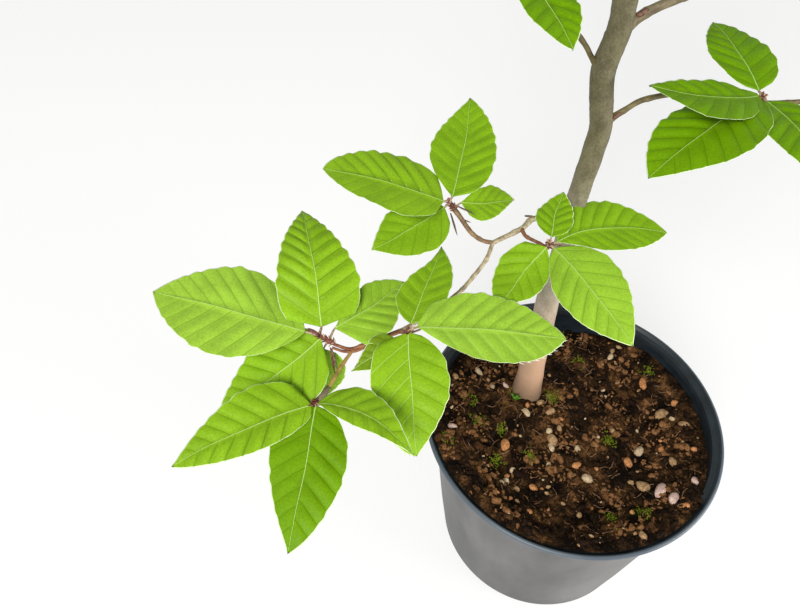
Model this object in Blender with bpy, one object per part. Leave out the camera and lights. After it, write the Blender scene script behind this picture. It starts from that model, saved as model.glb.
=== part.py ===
"""A young beech in a round nursery pot, 0.6 m tall with its pot.

Metres, +Z up. The origin is the centre of the pot's flat underside. The tree is built as a trunk,
its boughs and one thin, lobed mass for each spray of leaves. Sizes are named here in metres and
angles in degrees, anticlockwise from +X as seen from above.
"""

import math
import random
from dataclasses import dataclass, field

import bmesh
import bpy
from mathutils import Matrix, Vector

MM = 0.001
GAP = 0.3 * MM
Z_AXIS = Vector((0.0, 0.0, 1.0))

POT_HEIGHT = 119 * MM
POT_SEGMENTS = 40
RIM_OUTER_RADIUS = 75 * MM
RIM_INNER_RADIUS = 71.4 * MM
LIP_HEIGHT = 2.4 * MM
LIP_ROUND = 0.8 * MM
WALL_TOP_RADIUS = 69.4 * MM
WALL_THICKNESS = 1.8 * MM
FLOOR_THICKNESS = 2.2 * MM
BASE_RADIUS = 56.8 * MM
BASE_ROUND = 5 * MM
DRAIN_HOLES = 6
DRAIN_RADIUS = 5 * MM
DRAIN_RING_RADIUS = 38 * MM

SOIL_HEIGHT = 106 * MM
SOIL_SWELL = 1.4 * MM
SOIL_CALM_RADIUS = 24 * MM
SOIL_WAVES = (95.0, 120.0, 60.0)
SOIL_RINGS = (0.3, 0.58, 0.82)
SOIL_SEGMENTS = 32

TRUNK_FOOT = Vector((-18.5, 23, 0)) * MM
TRUNK_SIDES = 12
TRUNK_FLARE = 2.9 * MM
TRUNK_FLARE_HEIGHT = 14 * MM
TRUNK_RADIUS_LOW = 6.2 * MM
TRUNK_RADIUS_MIDDLE = 4 * MM
TRUNK_RADIUS_TOP = 1 * MM
TRUNK_MIDDLE_FROM = 231 * MM
TRUNK_MIDDLE_TO = 300 * MM
TREE_TOP = 585 * MM

LIMB_SIDES = 6
NEARLY_ALONG = 0.9
TWIG_RADIUS = 0.8 * MM

HUB_RADIUS = 5 * MM
HUB_HALF_THICKNESS = 1.5 * MM
MID_HALF_THICKNESS = 1.1 * MM
MID_RING = 0.55
SPRAY_ARCH = 0.05
PETIOLE = 5 * MM
PITCH_SPREAD = 32.0
LEVEL_SHARE = 1e-6
OUTLINE_STEPS = 48
OUTLINE_FULLNESS = 0.7
WIDEST_OFF_AXIS = 80.0
LOBE_OFFSETS = (-34.0, -19.0, -8.0, 0.0, 8.0, 19.0, 34.0)
CLOSEST_ANGLE = 6.0

GOLDEN_ANGLE = 137.5
CROWN_SEED = 1907
CROWN_BOUGHS = 10
CROWN_FOOT_HEIGHT = 336 * MM
CROWN_HEIGHT_STEP = 20 * MM
CROWN_FIRST_HEADING = 85.0
CROWN_LENGTHS = (92 * MM, 42 * MM)
CROWN_RISES = (28.0, 55.0)
CROWN_SCALES = (1.0, 0.74)
CROWN_SAG = 0.07
INNER_SPRAY_PLACE = 0.45
INNER_SPRAYS_UP_TO = 8
CROWN_POINTS = (0.0, 0.22, INNER_SPRAY_PLACE, 0.72, 1.0)
CROWN_FOOT_RADIUS = 1.5 * MM
OUTER_TILT_SHARE = 0.8
LEADER_LEAF_HEADINGS = (10.0, 82.0, 154.0, 226.0, 298.0)
OUTER_LEAF_HEADINGS = (0.0, 54.0, -54.0, 108.0, -108.0)
INNER_LEAF_HEADINGS = (60.0, -60.0, 118.0, -118.0)
OUTER_LEAF_LENGTH = 50 * MM
INNER_LEAF_LENGTH = 40 * MM
LEAF_WIDTH_SHARE = 0.54


@dataclass(frozen=True)
class Finish:
    """A plain surface: its colour, roughness and name."""

    name: str
    color: tuple
    roughness: float


@dataclass(frozen=True)
class Leaf:
    """One leaf of a spray, measured from the spray's centre to the leaf's tip."""

    heading: float
    pitch: float
    length: float
    width: float


@dataclass(frozen=True)
class Spray:
    """The leaves round one bud, in a plane that faces heading and is tilted up by tilt."""

    name: str
    centre: Vector
    leaves: tuple
    heading: float = 0.0
    tilt: float = 0.0
    pierced_by: tuple = ()


@dataclass(frozen=True)
class Limb:
    """One tapering limb through its points, with the limbs that it is cut clear of at its foot."""

    name: str
    points: tuple
    foot_radius: float
    tip_radius: float
    carriers: tuple = ("trunk",)


@dataclass
class Tree:
    """Everything that the skeleton is made of."""

    limbs: list = field(default_factory=list)
    sprays: list = field(default_factory=list)


POT_FINISH = Finish("pot_plastic", (0.21, 0.23, 0.24), 0.5)
SOIL_FINISH = Finish("soil", (0.028, 0.016, 0.009), 0.95)
BARK_FINISH = Finish("bark", (0.20, 0.17, 0.11), 0.75)
TWIG_FINISH = Finish("twig", (0.22, 0.13, 0.07), 0.7)
LEAF_FINISH = Finish("foliage", (0.25, 0.48, 0.05), 0.5)


def at_mm(x, y, z):
    """A point given in millimetres."""
    return Vector((x, y, z)) * MM


def mix(first, last, share):
    """The value this share of the way from the first to the last."""
    return first + (last - first) * share


def material(finish):
    """The Principled BSDF material of a finish, made once."""
    found = bpy.data.materials.get(finish.name)
    if found:
        return found
    made = bpy.data.materials.new(finish.name)
    made.use_nodes = True
    shader = made.node_tree.nodes["Principled BSDF"]
    shader.inputs["Base Color"].default_value = (*finish.color, 1.0)
    shader.inputs["Roughness"].default_value = finish.roughness
    shader.inputs["Metallic"].default_value = 0.0
    return made


def finished(name, shape, finish):
    """An object of this bmesh, with its normals outward and its material."""
    bmesh.ops.recalc_face_normals(shape, faces=shape.faces)
    mesh = bpy.data.meshes.new(name)
    shape.to_mesh(mesh)
    shape.free()
    mesh.shade_smooth()
    mesh.set_sharp_from_angle(angle=math.radians(40))
    made = bpy.data.objects.new(name, mesh)
    mesh.materials.append(material(finish))
    bpy.context.scene.collection.objects.link(made)
    return made


def bridge(shape, lower, upper):
    """Side faces between two closed loops with the same number of vertices."""
    for i in range(len(lower)):
        after = (i + 1) % len(lower)
        shape.faces.new((lower[i], lower[after], upper[after], upper[i]))


def turned(name, profile, segments, finish):
    """A solid turned round the Z axis from a closed profile of (radius, height) corners.

    A corner on the axis becomes one vertex, where the faces next to it meet.
    """
    shape = bmesh.new()
    loops = []
    for radius, height in profile:
        if radius == 0.0:
            loops.append([shape.verts.new((0.0, 0.0, height))])
            continue
        turns = (2 * math.pi * i / segments for i in range(segments))
        loops.append(
            [shape.verts.new((radius * math.cos(a), radius * math.sin(a), height)) for a in turns]
        )
    for lower, upper in zip(loops, loops[1:] + loops[:1]):
        if len(lower) == len(upper) == 1:
            continue
        if len(lower) == len(upper):
            bridge(shape, lower, upper)
            continue
        hub, ring = (lower[0], upper) if len(lower) == 1 else (upper[0], lower)
        for i, corner in enumerate(ring):
            shape.faces.new((hub, corner, ring[(i + 1) % len(ring)]))
    return finished(name, shape, finish)


def arc(centre, radius, start, end, steps):
    """Points of an arc in the (radius, height) plane, both ends included."""
    angles = (math.radians(mix(start, end, i / steps)) for i in range(steps + 1))
    return [(centre[0] + radius * math.cos(a), centre[1] + radius * math.sin(a)) for a in angles]


def wall_radius(height):
    """The pot wall's outer radius at a height."""
    lip_foot = POT_HEIGHT - LIP_HEIGHT
    return mix(BASE_RADIUS, WALL_TOP_RADIUS, min(height, lip_foot) / lip_foot)


def bore_radius(height):
    """The pot's inner radius at a height, which opens to the rim inside the lip."""
    lip_foot = POT_HEIGHT - LIP_HEIGHT
    if height <= lip_foot:
        return wall_radius(height) - WALL_THICKNESS
    share = (height - lip_foot) / LIP_HEIGHT
    return mix(wall_radius(lip_foot) - WALL_THICKNESS, RIM_INNER_RADIUS, share)


def pot():
    """The hollow pot: a tapering wall with a rounded foot, a rolled lip and drain holes."""
    lip_foot = POT_HEIGHT - LIP_HEIGHT
    lip_crest = POT_HEIGHT - LIP_ROUND
    profile = [(0.0, 0.0)]
    profile += arc((BASE_RADIUS - BASE_ROUND, BASE_ROUND), BASE_ROUND, -90, 0, 3)
    profile += [(wall_radius(lip_foot), lip_foot), (RIM_OUTER_RADIUS, lip_foot)]
    profile += arc((RIM_OUTER_RADIUS - LIP_ROUND, lip_crest), LIP_ROUND, 0, 90, 2)
    profile += arc((RIM_INNER_RADIUS + LIP_ROUND, lip_crest), LIP_ROUND, 90, 180, 2)
    profile += [(bore_radius(lip_foot), lip_foot)]
    profile += [(bore_radius(BASE_ROUND), BASE_ROUND)]
    profile += [(BASE_RADIUS - BASE_ROUND, FLOOR_THICKNESS), (0.0, FLOOR_THICKNESS)]
    made = turned("pot", profile, POT_SEGMENTS, POT_FINISH)
    drill_drains(made)
    return made


def drill_drains(made):
    """Cuts the round drain holes through the pot's floor."""
    shape = bmesh.new()
    for hole in range(DRAIN_HOLES):
        turn = 2 * math.pi * (hole + 0.5) / DRAIN_HOLES
        place = Vector((math.cos(turn), math.sin(turn), 0.0)) * DRAIN_RING_RADIUS
        bmesh.ops.create_cone(
            shape,
            cap_ends=True,
            segments=10,
            radius1=DRAIN_RADIUS,
            radius2=DRAIN_RADIUS,
            depth=4 * FLOOR_THICKNESS,
            matrix=Matrix.Translation(place),
        )
    cut_away(made, finished("drain_cutter", shape, POT_FINISH))


def cut_away(made, cutter):
    """Takes the cutter's shape from a solid, and hides the cutter."""
    cutter.hide_render = True
    cutter.display_type = "WIRE"
    boolean = made.modifiers.new(cutter.name, "BOOLEAN")
    boolean.operation = "DIFFERENCE"
    boolean.solver = "EXACT"
    boolean.object = cutter


def soil_rise(x, y):
    """How far the soil's uneven top stands over its mean height."""
    off_trunk = math.hypot(x - TRUNK_FOOT.x, y - TRUNK_FOOT.y) / SOIL_CALM_RADIUS
    calm = 1 - math.exp(-(off_trunk**4))
    across, deep, slant = SOIL_WAVES
    waves = 0.6 * math.sin(across * x + 0.7) + 0.4 * math.sin(deep * y - slant * x)
    return SOIL_SWELL * calm * waves


def soil():
    """The soil that fills the pot up to its uneven top."""
    shape = bmesh.new()
    floor = FLOOR_THICKNESS + GAP
    rim = bore_radius(SOIL_HEIGHT) - 2 * GAP
    foot = BASE_RADIUS - BASE_ROUND - GAP
    turns = [2 * math.pi * i / SOIL_SEGMENTS for i in range(SOIL_SEGMENTS)]
    bend = bore_radius(BASE_ROUND) - 2 * GAP
    loops = [[shape.verts.new((0.0, 0.0, floor))]]
    for radius, height in ((foot, floor), (bend, BASE_ROUND + GAP)):
        places = [(radius * math.cos(a), radius * math.sin(a)) for a in turns]
        loops.append([shape.verts.new((x, y, height)) for x, y in places])
    for share in (1.0, *reversed(SOIL_RINGS)):
        places = [(share * rim * math.cos(a), share * rim * math.sin(a)) for a in turns]
        loops.append([shape.verts.new((x, y, SOIL_HEIGHT + soil_rise(x, y))) for x, y in places])
    loops.append([shape.verts.new((0.0, 0.0, SOIL_HEIGHT + soil_rise(0.0, 0.0)))])
    for lower, upper in zip(loops[1:-2], loops[2:-1]):
        bridge(shape, lower, upper)
    for hub, ring in ((loops[0][0], loops[1]), (loops[-1][0], loops[-2])):
        for i, corner in enumerate(ring):
            shape.faces.new((hub, corner, ring[(i + 1) % len(ring)]))
    return finished("soil", shape, SOIL_FINISH)


def swept(points, radii, sides):
    """A closed bmesh tube through the points, with one ring of its own radius at each."""
    shape = bmesh.new()
    side = Vector((1.0, 0.0, 0.0))
    loops = []
    for i, point in enumerate(points):
        along = (points[min(i + 1, len(points) - 1)] - points[max(i - 1, 0)]).normalized()
        if abs(side.dot(along)) > NEARLY_ALONG:
            side = Vector((0.0, 1.0, 0.0))
        side = (side - along * side.dot(along)).normalized()
        other = along.cross(side)
        turns = (2 * math.pi * k / sides for k in range(sides))
        loops.append(
            [
                shape.verts.new(point + (side * math.cos(a) + other * math.sin(a)) * radii[i])
                for a in turns
            ]
        )
    for lower, upper in zip(loops, loops[1:]):
        bridge(shape, lower, upper)
    shape.faces.new(list(reversed(loops[0])))
    shape.faces.new(loops[-1])
    return shape


def taper(limb, points):
    """One radius for each point, shrinking evenly with the way run along the limb."""
    ways = [0.0]
    for first, last in zip(points, points[1:]):
        ways.append(ways[-1] + (last - first).length)
    return [mix(limb.foot_radius, limb.tip_radius, way / ways[-1]) for way in ways]


def trunk_points():
    """The trunk's slightly winding middle line from the soil to its tip."""
    bends = (
        (-18.5, 23.0, 106.0),
        (-18.8, 23.0, 118.0),
        (-19.4, 23.0, 140.0),
        (-20.0, 23.0, 176.0),
        (-19.4, 23.0, 210.0),
        (-18.9, 23.0, 241.0),
        (-18.0, 23.0, 262.0),
        (-19.0, 23.0, 281.0),
        (-21.4, 23.0, 298.0),
        (-20.2, 23.0, 312.0),
        (-21.0, 23.2, 324.0),
        (-22.0, 24.0, 360.0),
        (-20.2, 25.0, 400.0),
        (-22.6, 24.4, 450.0),
        (-20.8, 25.8, 500.0),
        (-22.4, 25.2, 545.0),
        (-21.6, 25.8, TREE_TOP / MM),
    )
    return [at_mm(*bend) for bend in bends]


def trunk_radius(height):
    """The trunk's radius at a height: a flared foot, then a steady taper to the tip."""
    flare = TRUNK_FLARE * math.exp(-(height - SOIL_HEIGHT) / TRUNK_FLARE_HEIGHT)
    if height > TRUNK_MIDDLE_TO:
        share = (height - TRUNK_MIDDLE_TO) / (TREE_TOP - TRUNK_MIDDLE_TO)
        return flare + mix(TRUNK_RADIUS_MIDDLE, TRUNK_RADIUS_TOP, share)
    share = min(1.0, (height - SOIL_HEIGHT) / (TRUNK_MIDDLE_FROM - SOIL_HEIGHT))
    return flare + mix(TRUNK_RADIUS_LOW, TRUNK_RADIUS_MIDDLE, share)


def trunk(clearance=0.0):
    """The trunk as a bmesh, grown by a clearance when it serves as a cutter."""
    points = trunk_points()
    radii = [trunk_radius(point.z) + clearance for point in points]
    points[0] = points[0] + Z_AXIS * (GAP - clearance)
    return swept(points, radii, TRUNK_SIDES)


def trunk_axis(height):
    """The point of the trunk's middle line at a height."""
    points = trunk_points()
    for first, last in zip(points, points[1:]):
        if height <= last.z:
            return first.lerp(last, (height - first.z) / (last.z - first.z))
    return points[-1]


def direction(heading, rise):
    """A unit vector with this heading and rise."""
    level = math.cos(math.radians(rise))
    turn = math.radians(heading)
    return Vector((level * math.cos(turn), level * math.sin(turn), math.sin(math.radians(rise))))


def leaf_reach(leaf, off_axis):
    """How far a leaf's outline reaches at an angle off its own axis, or 0 beside the leaf."""
    if abs(off_axis) >= WIDEST_OFF_AXIS:
        return 0.0
    slope = math.tan(math.radians(abs(off_axis)))
    for step in range(OUTLINE_STEPS):
        share = 1 - step / OUTLINE_STEPS
        along = mix(PETIOLE, leaf.length, share)
        half_width = leaf.width / 2 * math.sin(math.pi * share) ** OUTLINE_FULLNESS
        if half_width >= along * slope:
            return along / math.cos(math.radians(off_axis))
    return 0.0


def turned_by(first, second):
    """The signed angle from the second heading to the first, within half a turn."""
    return (first - second + 180) % 360 - 180


def pitch_at(spray, heading):
    """The slope of the mass at a heading, blended from the leaves on either side."""
    offsets = [turned_by(heading, leaf.heading) / PITCH_SPREAD for leaf in spray.leaves]
    shares = [math.exp(-(offset**2)) for offset in offsets]
    total = sum(shares) + LEVEL_SHARE
    return sum(share * leaf.pitch for share, leaf in zip(shares, spray.leaves)) / total


def rim_headings(spray):
    """The headings of the rim's corners: some across each leaf and one in each notch."""
    tips = sorted(leaf.heading % 360 for leaf in spray.leaves)
    wanted = list(tips)
    wanted += [low + turned_by(high, low) % 360 / 2 for low, high in zip(tips, tips[1:] + tips[:1])]
    wanted += [tip + offset for tip in tips for offset in LOBE_OFFSETS]
    wanted += [45.0 * i for i in range(8)]
    kept = []
    for heading in wanted:
        if all(abs(turned_by(heading, other)) >= CLOSEST_ANGLE for other in kept):
            kept.append(heading % 360)
    return sorted(kept)


def spray_frame(spray):
    """The matrix from a spray's own plane to the tree."""
    turn = Matrix.Rotation(math.radians(spray.heading), 4, "Z")
    tilt = Matrix.Rotation(math.radians(-spray.tilt), 4, "Y")
    return Matrix.Translation(spray.centre) @ turn @ tilt


def foliage(spray, limbs):
    """A thin, domed mass with one lobe for each leaf and a notch between each two."""
    shape = bmesh.new()
    frame = spray_frame(spray)
    top = shape.verts.new(frame @ (Z_AXIS * HUB_HALF_THICKNESS))
    bottom = shape.verts.new(frame @ (Z_AXIS * -HUB_HALF_THICKNESS))
    rim, upper, lower = [], [], []
    for heading in rim_headings(spray):
        reach = max(leaf_reach(leaf, turned_by(heading, leaf.heading)) for leaf in spray.leaves)
        reach = max(reach, HUB_RADIUS)
        outward = direction(heading, pitch_at(spray, heading))
        middle = outward * (reach * MID_RING) + Z_AXIS * (reach * SPRAY_ARCH)
        rim.append(shape.verts.new(frame @ (outward * reach)))
        upper.append(shape.verts.new(frame @ (middle + Z_AXIS * MID_HALF_THICKNESS)))
        lower.append(shape.verts.new(frame @ (middle - Z_AXIS * MID_HALF_THICKNESS)))
    bridge(shape, rim, upper)
    bridge(shape, lower, rim)
    for hub, ring in ((top, upper), (bottom, lower)):
        for i, corner in enumerate(ring):
            shape.faces.new((hub, corner, ring[(i + 1) % len(ring)]))
    bmesh.ops.triangulate(shape, faces=shape.faces)
    made = finished(spray.name, shape, LEAF_FINISH)
    for limb in spray.pierced_by:
        cut_away(made, finished(f"{spray.name}_off_{limb}", grown(limbs[limb]), LEAF_FINISH))


def on_limb(point, up, radius):
    """Where a spray's centre lies so that its mass rests just clear of the limb under it."""
    return point + up * (radius + GAP * 1.5 + HUB_HALF_THICKNESS)


def under_spray(centre, radius=TWIG_RADIUS):
    """Where a limb ends so that it carries the mass over it."""
    return centre - Z_AXIS * (radius + GAP * 1.5 + HUB_HALF_THICKNESS)


def left_side(tree):
    """The long low bough on the left, which forks, and its five sprays."""
    near = at_mm(-33.1, -1.7, 241)
    back = at_mm(-69.5, 19.2, 241)
    middle = at_mm(-85.3, -35.2, 228)
    outer = at_mm(-115.6, -37, 226)
    low = at_mm(-116.5, -59.4, 217)
    fork = at_mm(-52, 11, 228)
    elbow = at_mm(-88, -29, 220)
    tree.limbs += [
        Limb("bough_left", (at_mm(-19.5, 23, 231), at_mm(-34.5, 22.6, 231), at_mm(-40.5, 17.3, 230), fork),
             1.5 * MM, 1.2 * MM),
        Limb("bough_left_back", (fork, at_mm(-56.6, 10.8, 230), at_mm(-60.8, 12.6, 232),
                                 at_mm(-66.5, 16, 235.5), under_spray(back)),
             1.1 * MM, TWIG_RADIUS, ("bough_left",)),
        Limb("bough_left_front", (fork, at_mm(-54.8, 4.4, 225), at_mm(-59.8, -2.1, 222),
                                  at_mm(-66, -9, 219.5), at_mm(-78.5, -20.5, 218.6), elbow),
             1.3 * MM, 1.1 * MM, ("bough_left", "bough_left_back")),
        Limb("bough_left_outer", (elbow, at_mm(-99, -34.8, 220), at_mm(-105, -38.3, 221),
                                  at_mm(-111, -39.2, 222.4), under_spray(outer)),
             1.1 * MM, TWIG_RADIUS, ("bough_left_front",)),
        Limb("twig_left_near", (at_mm(-40.2, 17.3, 230), at_mm(-39.4, 11.5, 231.6), at_mm(-36.6, 5, 235),
                                under_spray(near)),
             0.9 * MM, TWIG_RADIUS, ("bough_left",)),
        Limb("twig_left_middle", (elbow, at_mm(-86.6, -32, 223), under_spray(middle)),
             0.9 * MM, TWIG_RADIUS, ("bough_left_front", "bough_left_outer")),
        Limb("twig_left_low", (at_mm(-105, -38.3, 221), at_mm(-109, -47.5, 218.2),
                               at_mm(-112.4, -53.2, 215.2), under_spray(low)),
             TWIG_RADIUS, TWIG_RADIUS, ("bough_left_outer",)),
    ]
    tree.sprays += [
        Spray("foliage_left_near", near, (
            Leaf(74, 8, 26 * MM, 13 * MM), Leaf(13, -5, 50 * MM, 20 * MM),
            Leaf(-58, -12, 50 * MM, 31 * MM), Leaf(-130, -28, 35 * MM, 22 * MM))),
        Spray("foliage_left_back", back, (
            Leaf(81, 12, 58 * MM, 28 * MM), Leaf(167, 6, 54 * MM, 25 * MM),
            Leaf(-146, -10, 37 * MM, 19 * MM), Leaf(17, -8, 27 * MM, 14 * MM))),
        Spray("foliage_left_middle", middle, (
            Leaf(75, 0, 43 * MM, 16 * MM), Leaf(-6, 5, 55 * MM, 26 * MM),
            Leaf(-84, -26, 45 * MM, 28 * MM))),
        Spray("foliage_left_outer", outer, (
            Leaf(173, 12, 63 * MM, 34 * MM), Leaf(103, 12, 57 * MM, 32 * MM),
            Leaf(49, -8, 44 * MM, 20 * MM), Leaf(-161, -33, 48 * MM, 27 * MM))),
        Spray("foliage_left_low", low, (
            Leaf(-155, -10, 52 * MM, 25 * MM), Leaf(-96, -12, 50 * MM, 30 * MM),
            Leaf(-27, 0, 39 * MM, 17 * MM))),
    ]


def right_side(tree):
    """The bough on the right, with a spray near it and one at its tip."""
    turn = at_mm(2, 28.5, 284.5)
    inner = at_mm(36.3, 26.8, 287.4)
    tip = at_mm(78, 13, 305)
    tree.limbs.append(
        Limb("bough_right", (at_mm(-19, 23, 279), turn, at_mm(36.3, 26.8, 284.6), at_mm(58, 21, 291),
                             under_spray(tip)),
             1.3 * MM, TWIG_RADIUS))
    tree.sprays += [
        Spray("foliage_right_inner", inner, (
            Leaf(-175, 10, 42 * MM, 18 * MM), Leaf(-144, -10, 55 * MM, 28 * MM),
            Leaf(98, 4, 46 * MM, 24 * MM), Leaf(-76, -4, 48 * MM, 25 * MM))),
        Spray("foliage_right_outer", tip, (
            Leaf(62, -6, 50 * MM, 26 * MM), Leaf(2, -12, 52 * MM, 28 * MM),
            Leaf(-60, -10, 52 * MM, 27 * MM), Leaf(-112, -4, 44 * MM, 23 * MM))),
    ]


def upper_left(tree):
    """The thin bough on the left below the crown, with two sprays."""
    inner = at_mm(-56.4, 18.1, 335)
    tip = at_mm(-92, 38, 366)
    tree.limbs.append(
        Limb("bough_upper_left", (at_mm(-20.8, 23, 299), at_mm(-31.5, 25.5, 307.5), at_mm(-45, 22, 321),
                                  at_mm(-56.4, 18.1, 331.8), at_mm(-76, 26, 348), under_spray(tip)),
             1.1 * MM, TWIG_RADIUS))
    tree.sprays += [
        Spray("foliage_upper_left_inner", inner, (
            Leaf(-72, -10, 40 * MM, 18 * MM), Leaf(-142, 6, 44 * MM, 23 * MM),
            Leaf(98, 2, 44 * MM, 23 * MM)), pierced_by=("bough_upper_left",)),
        Spray("foliage_upper_left_outer", tip, (
            Leaf(90, -4, 50 * MM, 26 * MM), Leaf(150, -8, 52 * MM, 28 * MM),
            Leaf(-155, -4, 50 * MM, 26 * MM), Leaf(-98, 0, 44 * MM, 23 * MM))),
    ]


def upper_right(tree):
    """The stout bough on the right below the crown, with two sprays."""
    inner = at_mm(32, 33.5, 343)
    tip = at_mm(74, 52, 366)
    tree.limbs.append(
        Limb("bough_upper_right", (at_mm(-20.3, 23, 316), at_mm(-7, 22.6, 321.5), at_mm(14, 27, 330),
                                   at_mm(32, 33.5, 339.3), at_mm(54, 43, 351), under_spray(tip)),
             1.8 * MM, TWIG_RADIUS))
    tree.sprays += [
        Spray("foliage_upper_right_inner", inner, (
            Leaf(88, 6, 45 * MM, 24 * MM), Leaf(142, 4, 42 * MM, 22 * MM),
            Leaf(-45, 4, 46 * MM, 24 * MM), Leaf(-100, 8, 42 * MM, 22 * MM))),
        Spray("foliage_upper_right_outer", tip, (
            Leaf(24, -8, 52 * MM, 28 * MM), Leaf(80, -6, 50 * MM, 26 * MM),
            Leaf(-32, -8, 50 * MM, 26 * MM), Leaf(-88, -4, 44 * MM, 23 * MM),
            Leaf(134, -2, 42 * MM, 22 * MM))),
    ]


def seeded_leaves(rule, headings, length):
    """Leaves at these headings off their limb, each a little different from the next."""
    leaves = []
    for heading in headings:
        long = length * rule.uniform(0.88, 1.1)
        turn = rule.uniform(-6, 6)
        pitch = rule.uniform(-12, 4)
        leaves.append(Leaf(heading + turn, pitch, long, LEAF_WIDTH_SHARE * long))
    return tuple(leaves)


def crown(tree):
    """The boughs of the crown, wound up the trunk by the golden angle, and the leader's spray."""
    rule = random.Random(CROWN_SEED)
    for i in range(CROWN_BOUGHS):
        share = i / (CROWN_BOUGHS - 1)
        scale = mix(*CROWN_SCALES, share)
        heading = (CROWN_FIRST_HEADING + GOLDEN_ANGLE * i) % 360
        rise = mix(*CROWN_RISES, share)
        length = mix(*CROWN_LENGTHS, share) * rule.uniform(0.95, 1.05)
        foot = trunk_axis(CROWN_FOOT_HEIGHT + CROWN_HEIGHT_STEP * i)
        along = direction(heading, rise)
        up = direction(heading, rise + 90)
        foot_radius = CROWN_FOOT_RADIUS * scale
        points = [
            foot + along * (length * place) - up * (CROWN_SAG * length * math.sin(math.pi * place))
            for place in CROWN_POINTS
        ]
        name = f"{i + 1:02d}"
        tree.limbs.append(Limb(f"bough_crown_{name}", tuple(points), foot_radius, TWIG_RADIUS))
        outer_leaves = seeded_leaves(rule, OUTER_LEAF_HEADINGS, OUTER_LEAF_LENGTH * scale)
        tree.sprays.append(
            Spray(f"foliage_crown_{name}_outer", on_limb(points[-1], up, TWIG_RADIUS), outer_leaves,
                  heading, rise * OUTER_TILT_SHARE))
        if i >= INNER_SPRAYS_UP_TO:
            continue
        inner_radius = mix(foot_radius, TWIG_RADIUS, INNER_SPRAY_PLACE)
        inner_leaves = seeded_leaves(rule, INNER_LEAF_HEADINGS, INNER_LEAF_LENGTH * scale)
        tree.sprays.append(
            Spray(f"foliage_crown_{name}_inner", on_limb(points[2], up, inner_radius), inner_leaves,
                  heading, rise))
    top = on_limb(trunk_points()[-1], Z_AXIS, 0.0)
    leader = seeded_leaves(rule, LEADER_LEAF_HEADINGS, OUTER_LEAF_LENGTH * CROWN_SCALES[-1])
    tree.sprays.append(Spray("foliage_leader", top, leader))


def grow_limb(limb, limbs):
    """A limb's solid, cut clear of the limbs that carry it."""
    points = list(limb.points)
    made = finished(limb.name, swept(points, taper(limb, points), LIMB_SIDES), TWIG_FINISH)
    for carrier in limb.carriers:
        cutter = trunk(GAP) if carrier == "trunk" else grown(limbs[carrier])
        cut_away(made, finished(f"{limb.name}_off_{carrier}", cutter, TWIG_FINISH))


def grown(limb):
    """A limb's shape with the usual gap added all round and beyond its tip."""
    way = list(limb.points)
    way[-1] = way[-1] + (way[-1] - way[-2]).normalized() * GAP
    return swept(way, [radius + GAP for radius in taper(limb, way)], LIMB_SIDES)


def build():
    """Clears the scene and models every piece."""
    for made in list(bpy.data.objects):
        bpy.data.objects.remove(made, do_unlink=True)
    tree = Tree()
    left_side(tree)
    right_side(tree)
    upper_left(tree)
    upper_right(tree)
    crown(tree)
    pot()
    soil()
    finished("trunk", trunk(), BARK_FINISH)
    limbs = {limb.name: limb for limb in tree.limbs}
    for limb in tree.limbs:
        grow_limb(limb, limbs)
    for spray in tree.sprays:
        foliage(spray, limbs)


build()
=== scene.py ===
"""The looks of a young beech in its nursery pot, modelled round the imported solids.

Metres, +Z up, with the origin at the centre of the pot's flat underside. The tables of leaves, limbs and
small things on the soil give lengths in millimetres, and angles are in degrees.
"""

import logging
import math
import random
from dataclasses import dataclass, field
from enum import Enum

import bmesh
import bpy
import numpy as np
from mathutils import Matrix, Vector, noise

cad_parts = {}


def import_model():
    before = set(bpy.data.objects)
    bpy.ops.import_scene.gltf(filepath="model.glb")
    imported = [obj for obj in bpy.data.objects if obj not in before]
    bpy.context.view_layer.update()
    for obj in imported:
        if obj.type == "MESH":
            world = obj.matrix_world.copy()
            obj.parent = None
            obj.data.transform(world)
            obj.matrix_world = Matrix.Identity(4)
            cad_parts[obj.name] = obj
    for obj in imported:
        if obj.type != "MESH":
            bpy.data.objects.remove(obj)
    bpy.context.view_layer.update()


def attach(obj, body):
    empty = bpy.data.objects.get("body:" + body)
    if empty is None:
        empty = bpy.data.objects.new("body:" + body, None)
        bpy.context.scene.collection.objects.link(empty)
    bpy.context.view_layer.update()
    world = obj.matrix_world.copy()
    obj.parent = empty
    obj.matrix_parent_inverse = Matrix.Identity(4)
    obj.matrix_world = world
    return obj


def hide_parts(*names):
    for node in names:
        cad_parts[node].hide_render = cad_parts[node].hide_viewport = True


MM = 0.001
Z_AXIS = Vector((0.0, 0.0, 1.0))
BODY = "root"
GOLDEN_ANGLE = 137.5
SEED = 1907
EYE = Vector((-0.0884, -0.1905, 0.4235))

log = logging.getLogger("beech")


def at_mm(x: float, y: float, z: float) -> Vector:
    """A point given in millimetres."""
    return Vector((x, y, z)) * MM


def mix(first: float, last: float, share: float) -> float:
    """The value this share of the way from the first to the last."""
    return first + (last - first) * share


def smooth_step(value: float, low: float, high: float) -> float:
    """A smooth step from 0 where the value is low to 1 where it is high."""
    share = min(max((value - low) / (high - low), 0.0), 1.0)
    return share * share * (3 - 2 * share)


def direction(heading: float, rise: float) -> Vector:
    """A unit vector with this heading and rise, in degrees."""
    level, turn = math.cos(math.radians(rise)), math.radians(heading)
    return Vector((level * math.cos(turn), level * math.sin(turn), math.sin(math.radians(rise))))


def deselect() -> None:
    """Leaves nothing selected and no mode open."""
    if bpy.context.object and bpy.context.object.mode != "OBJECT":
        bpy.ops.object.mode_set(mode="OBJECT")
    bpy.ops.object.select_all(action="DESELECT")


def select(obj: bpy.types.Object) -> None:
    """Makes one object the only selected and the active one."""
    deselect()
    obj.select_set(True)
    bpy.context.view_layer.objects.active = obj


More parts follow.
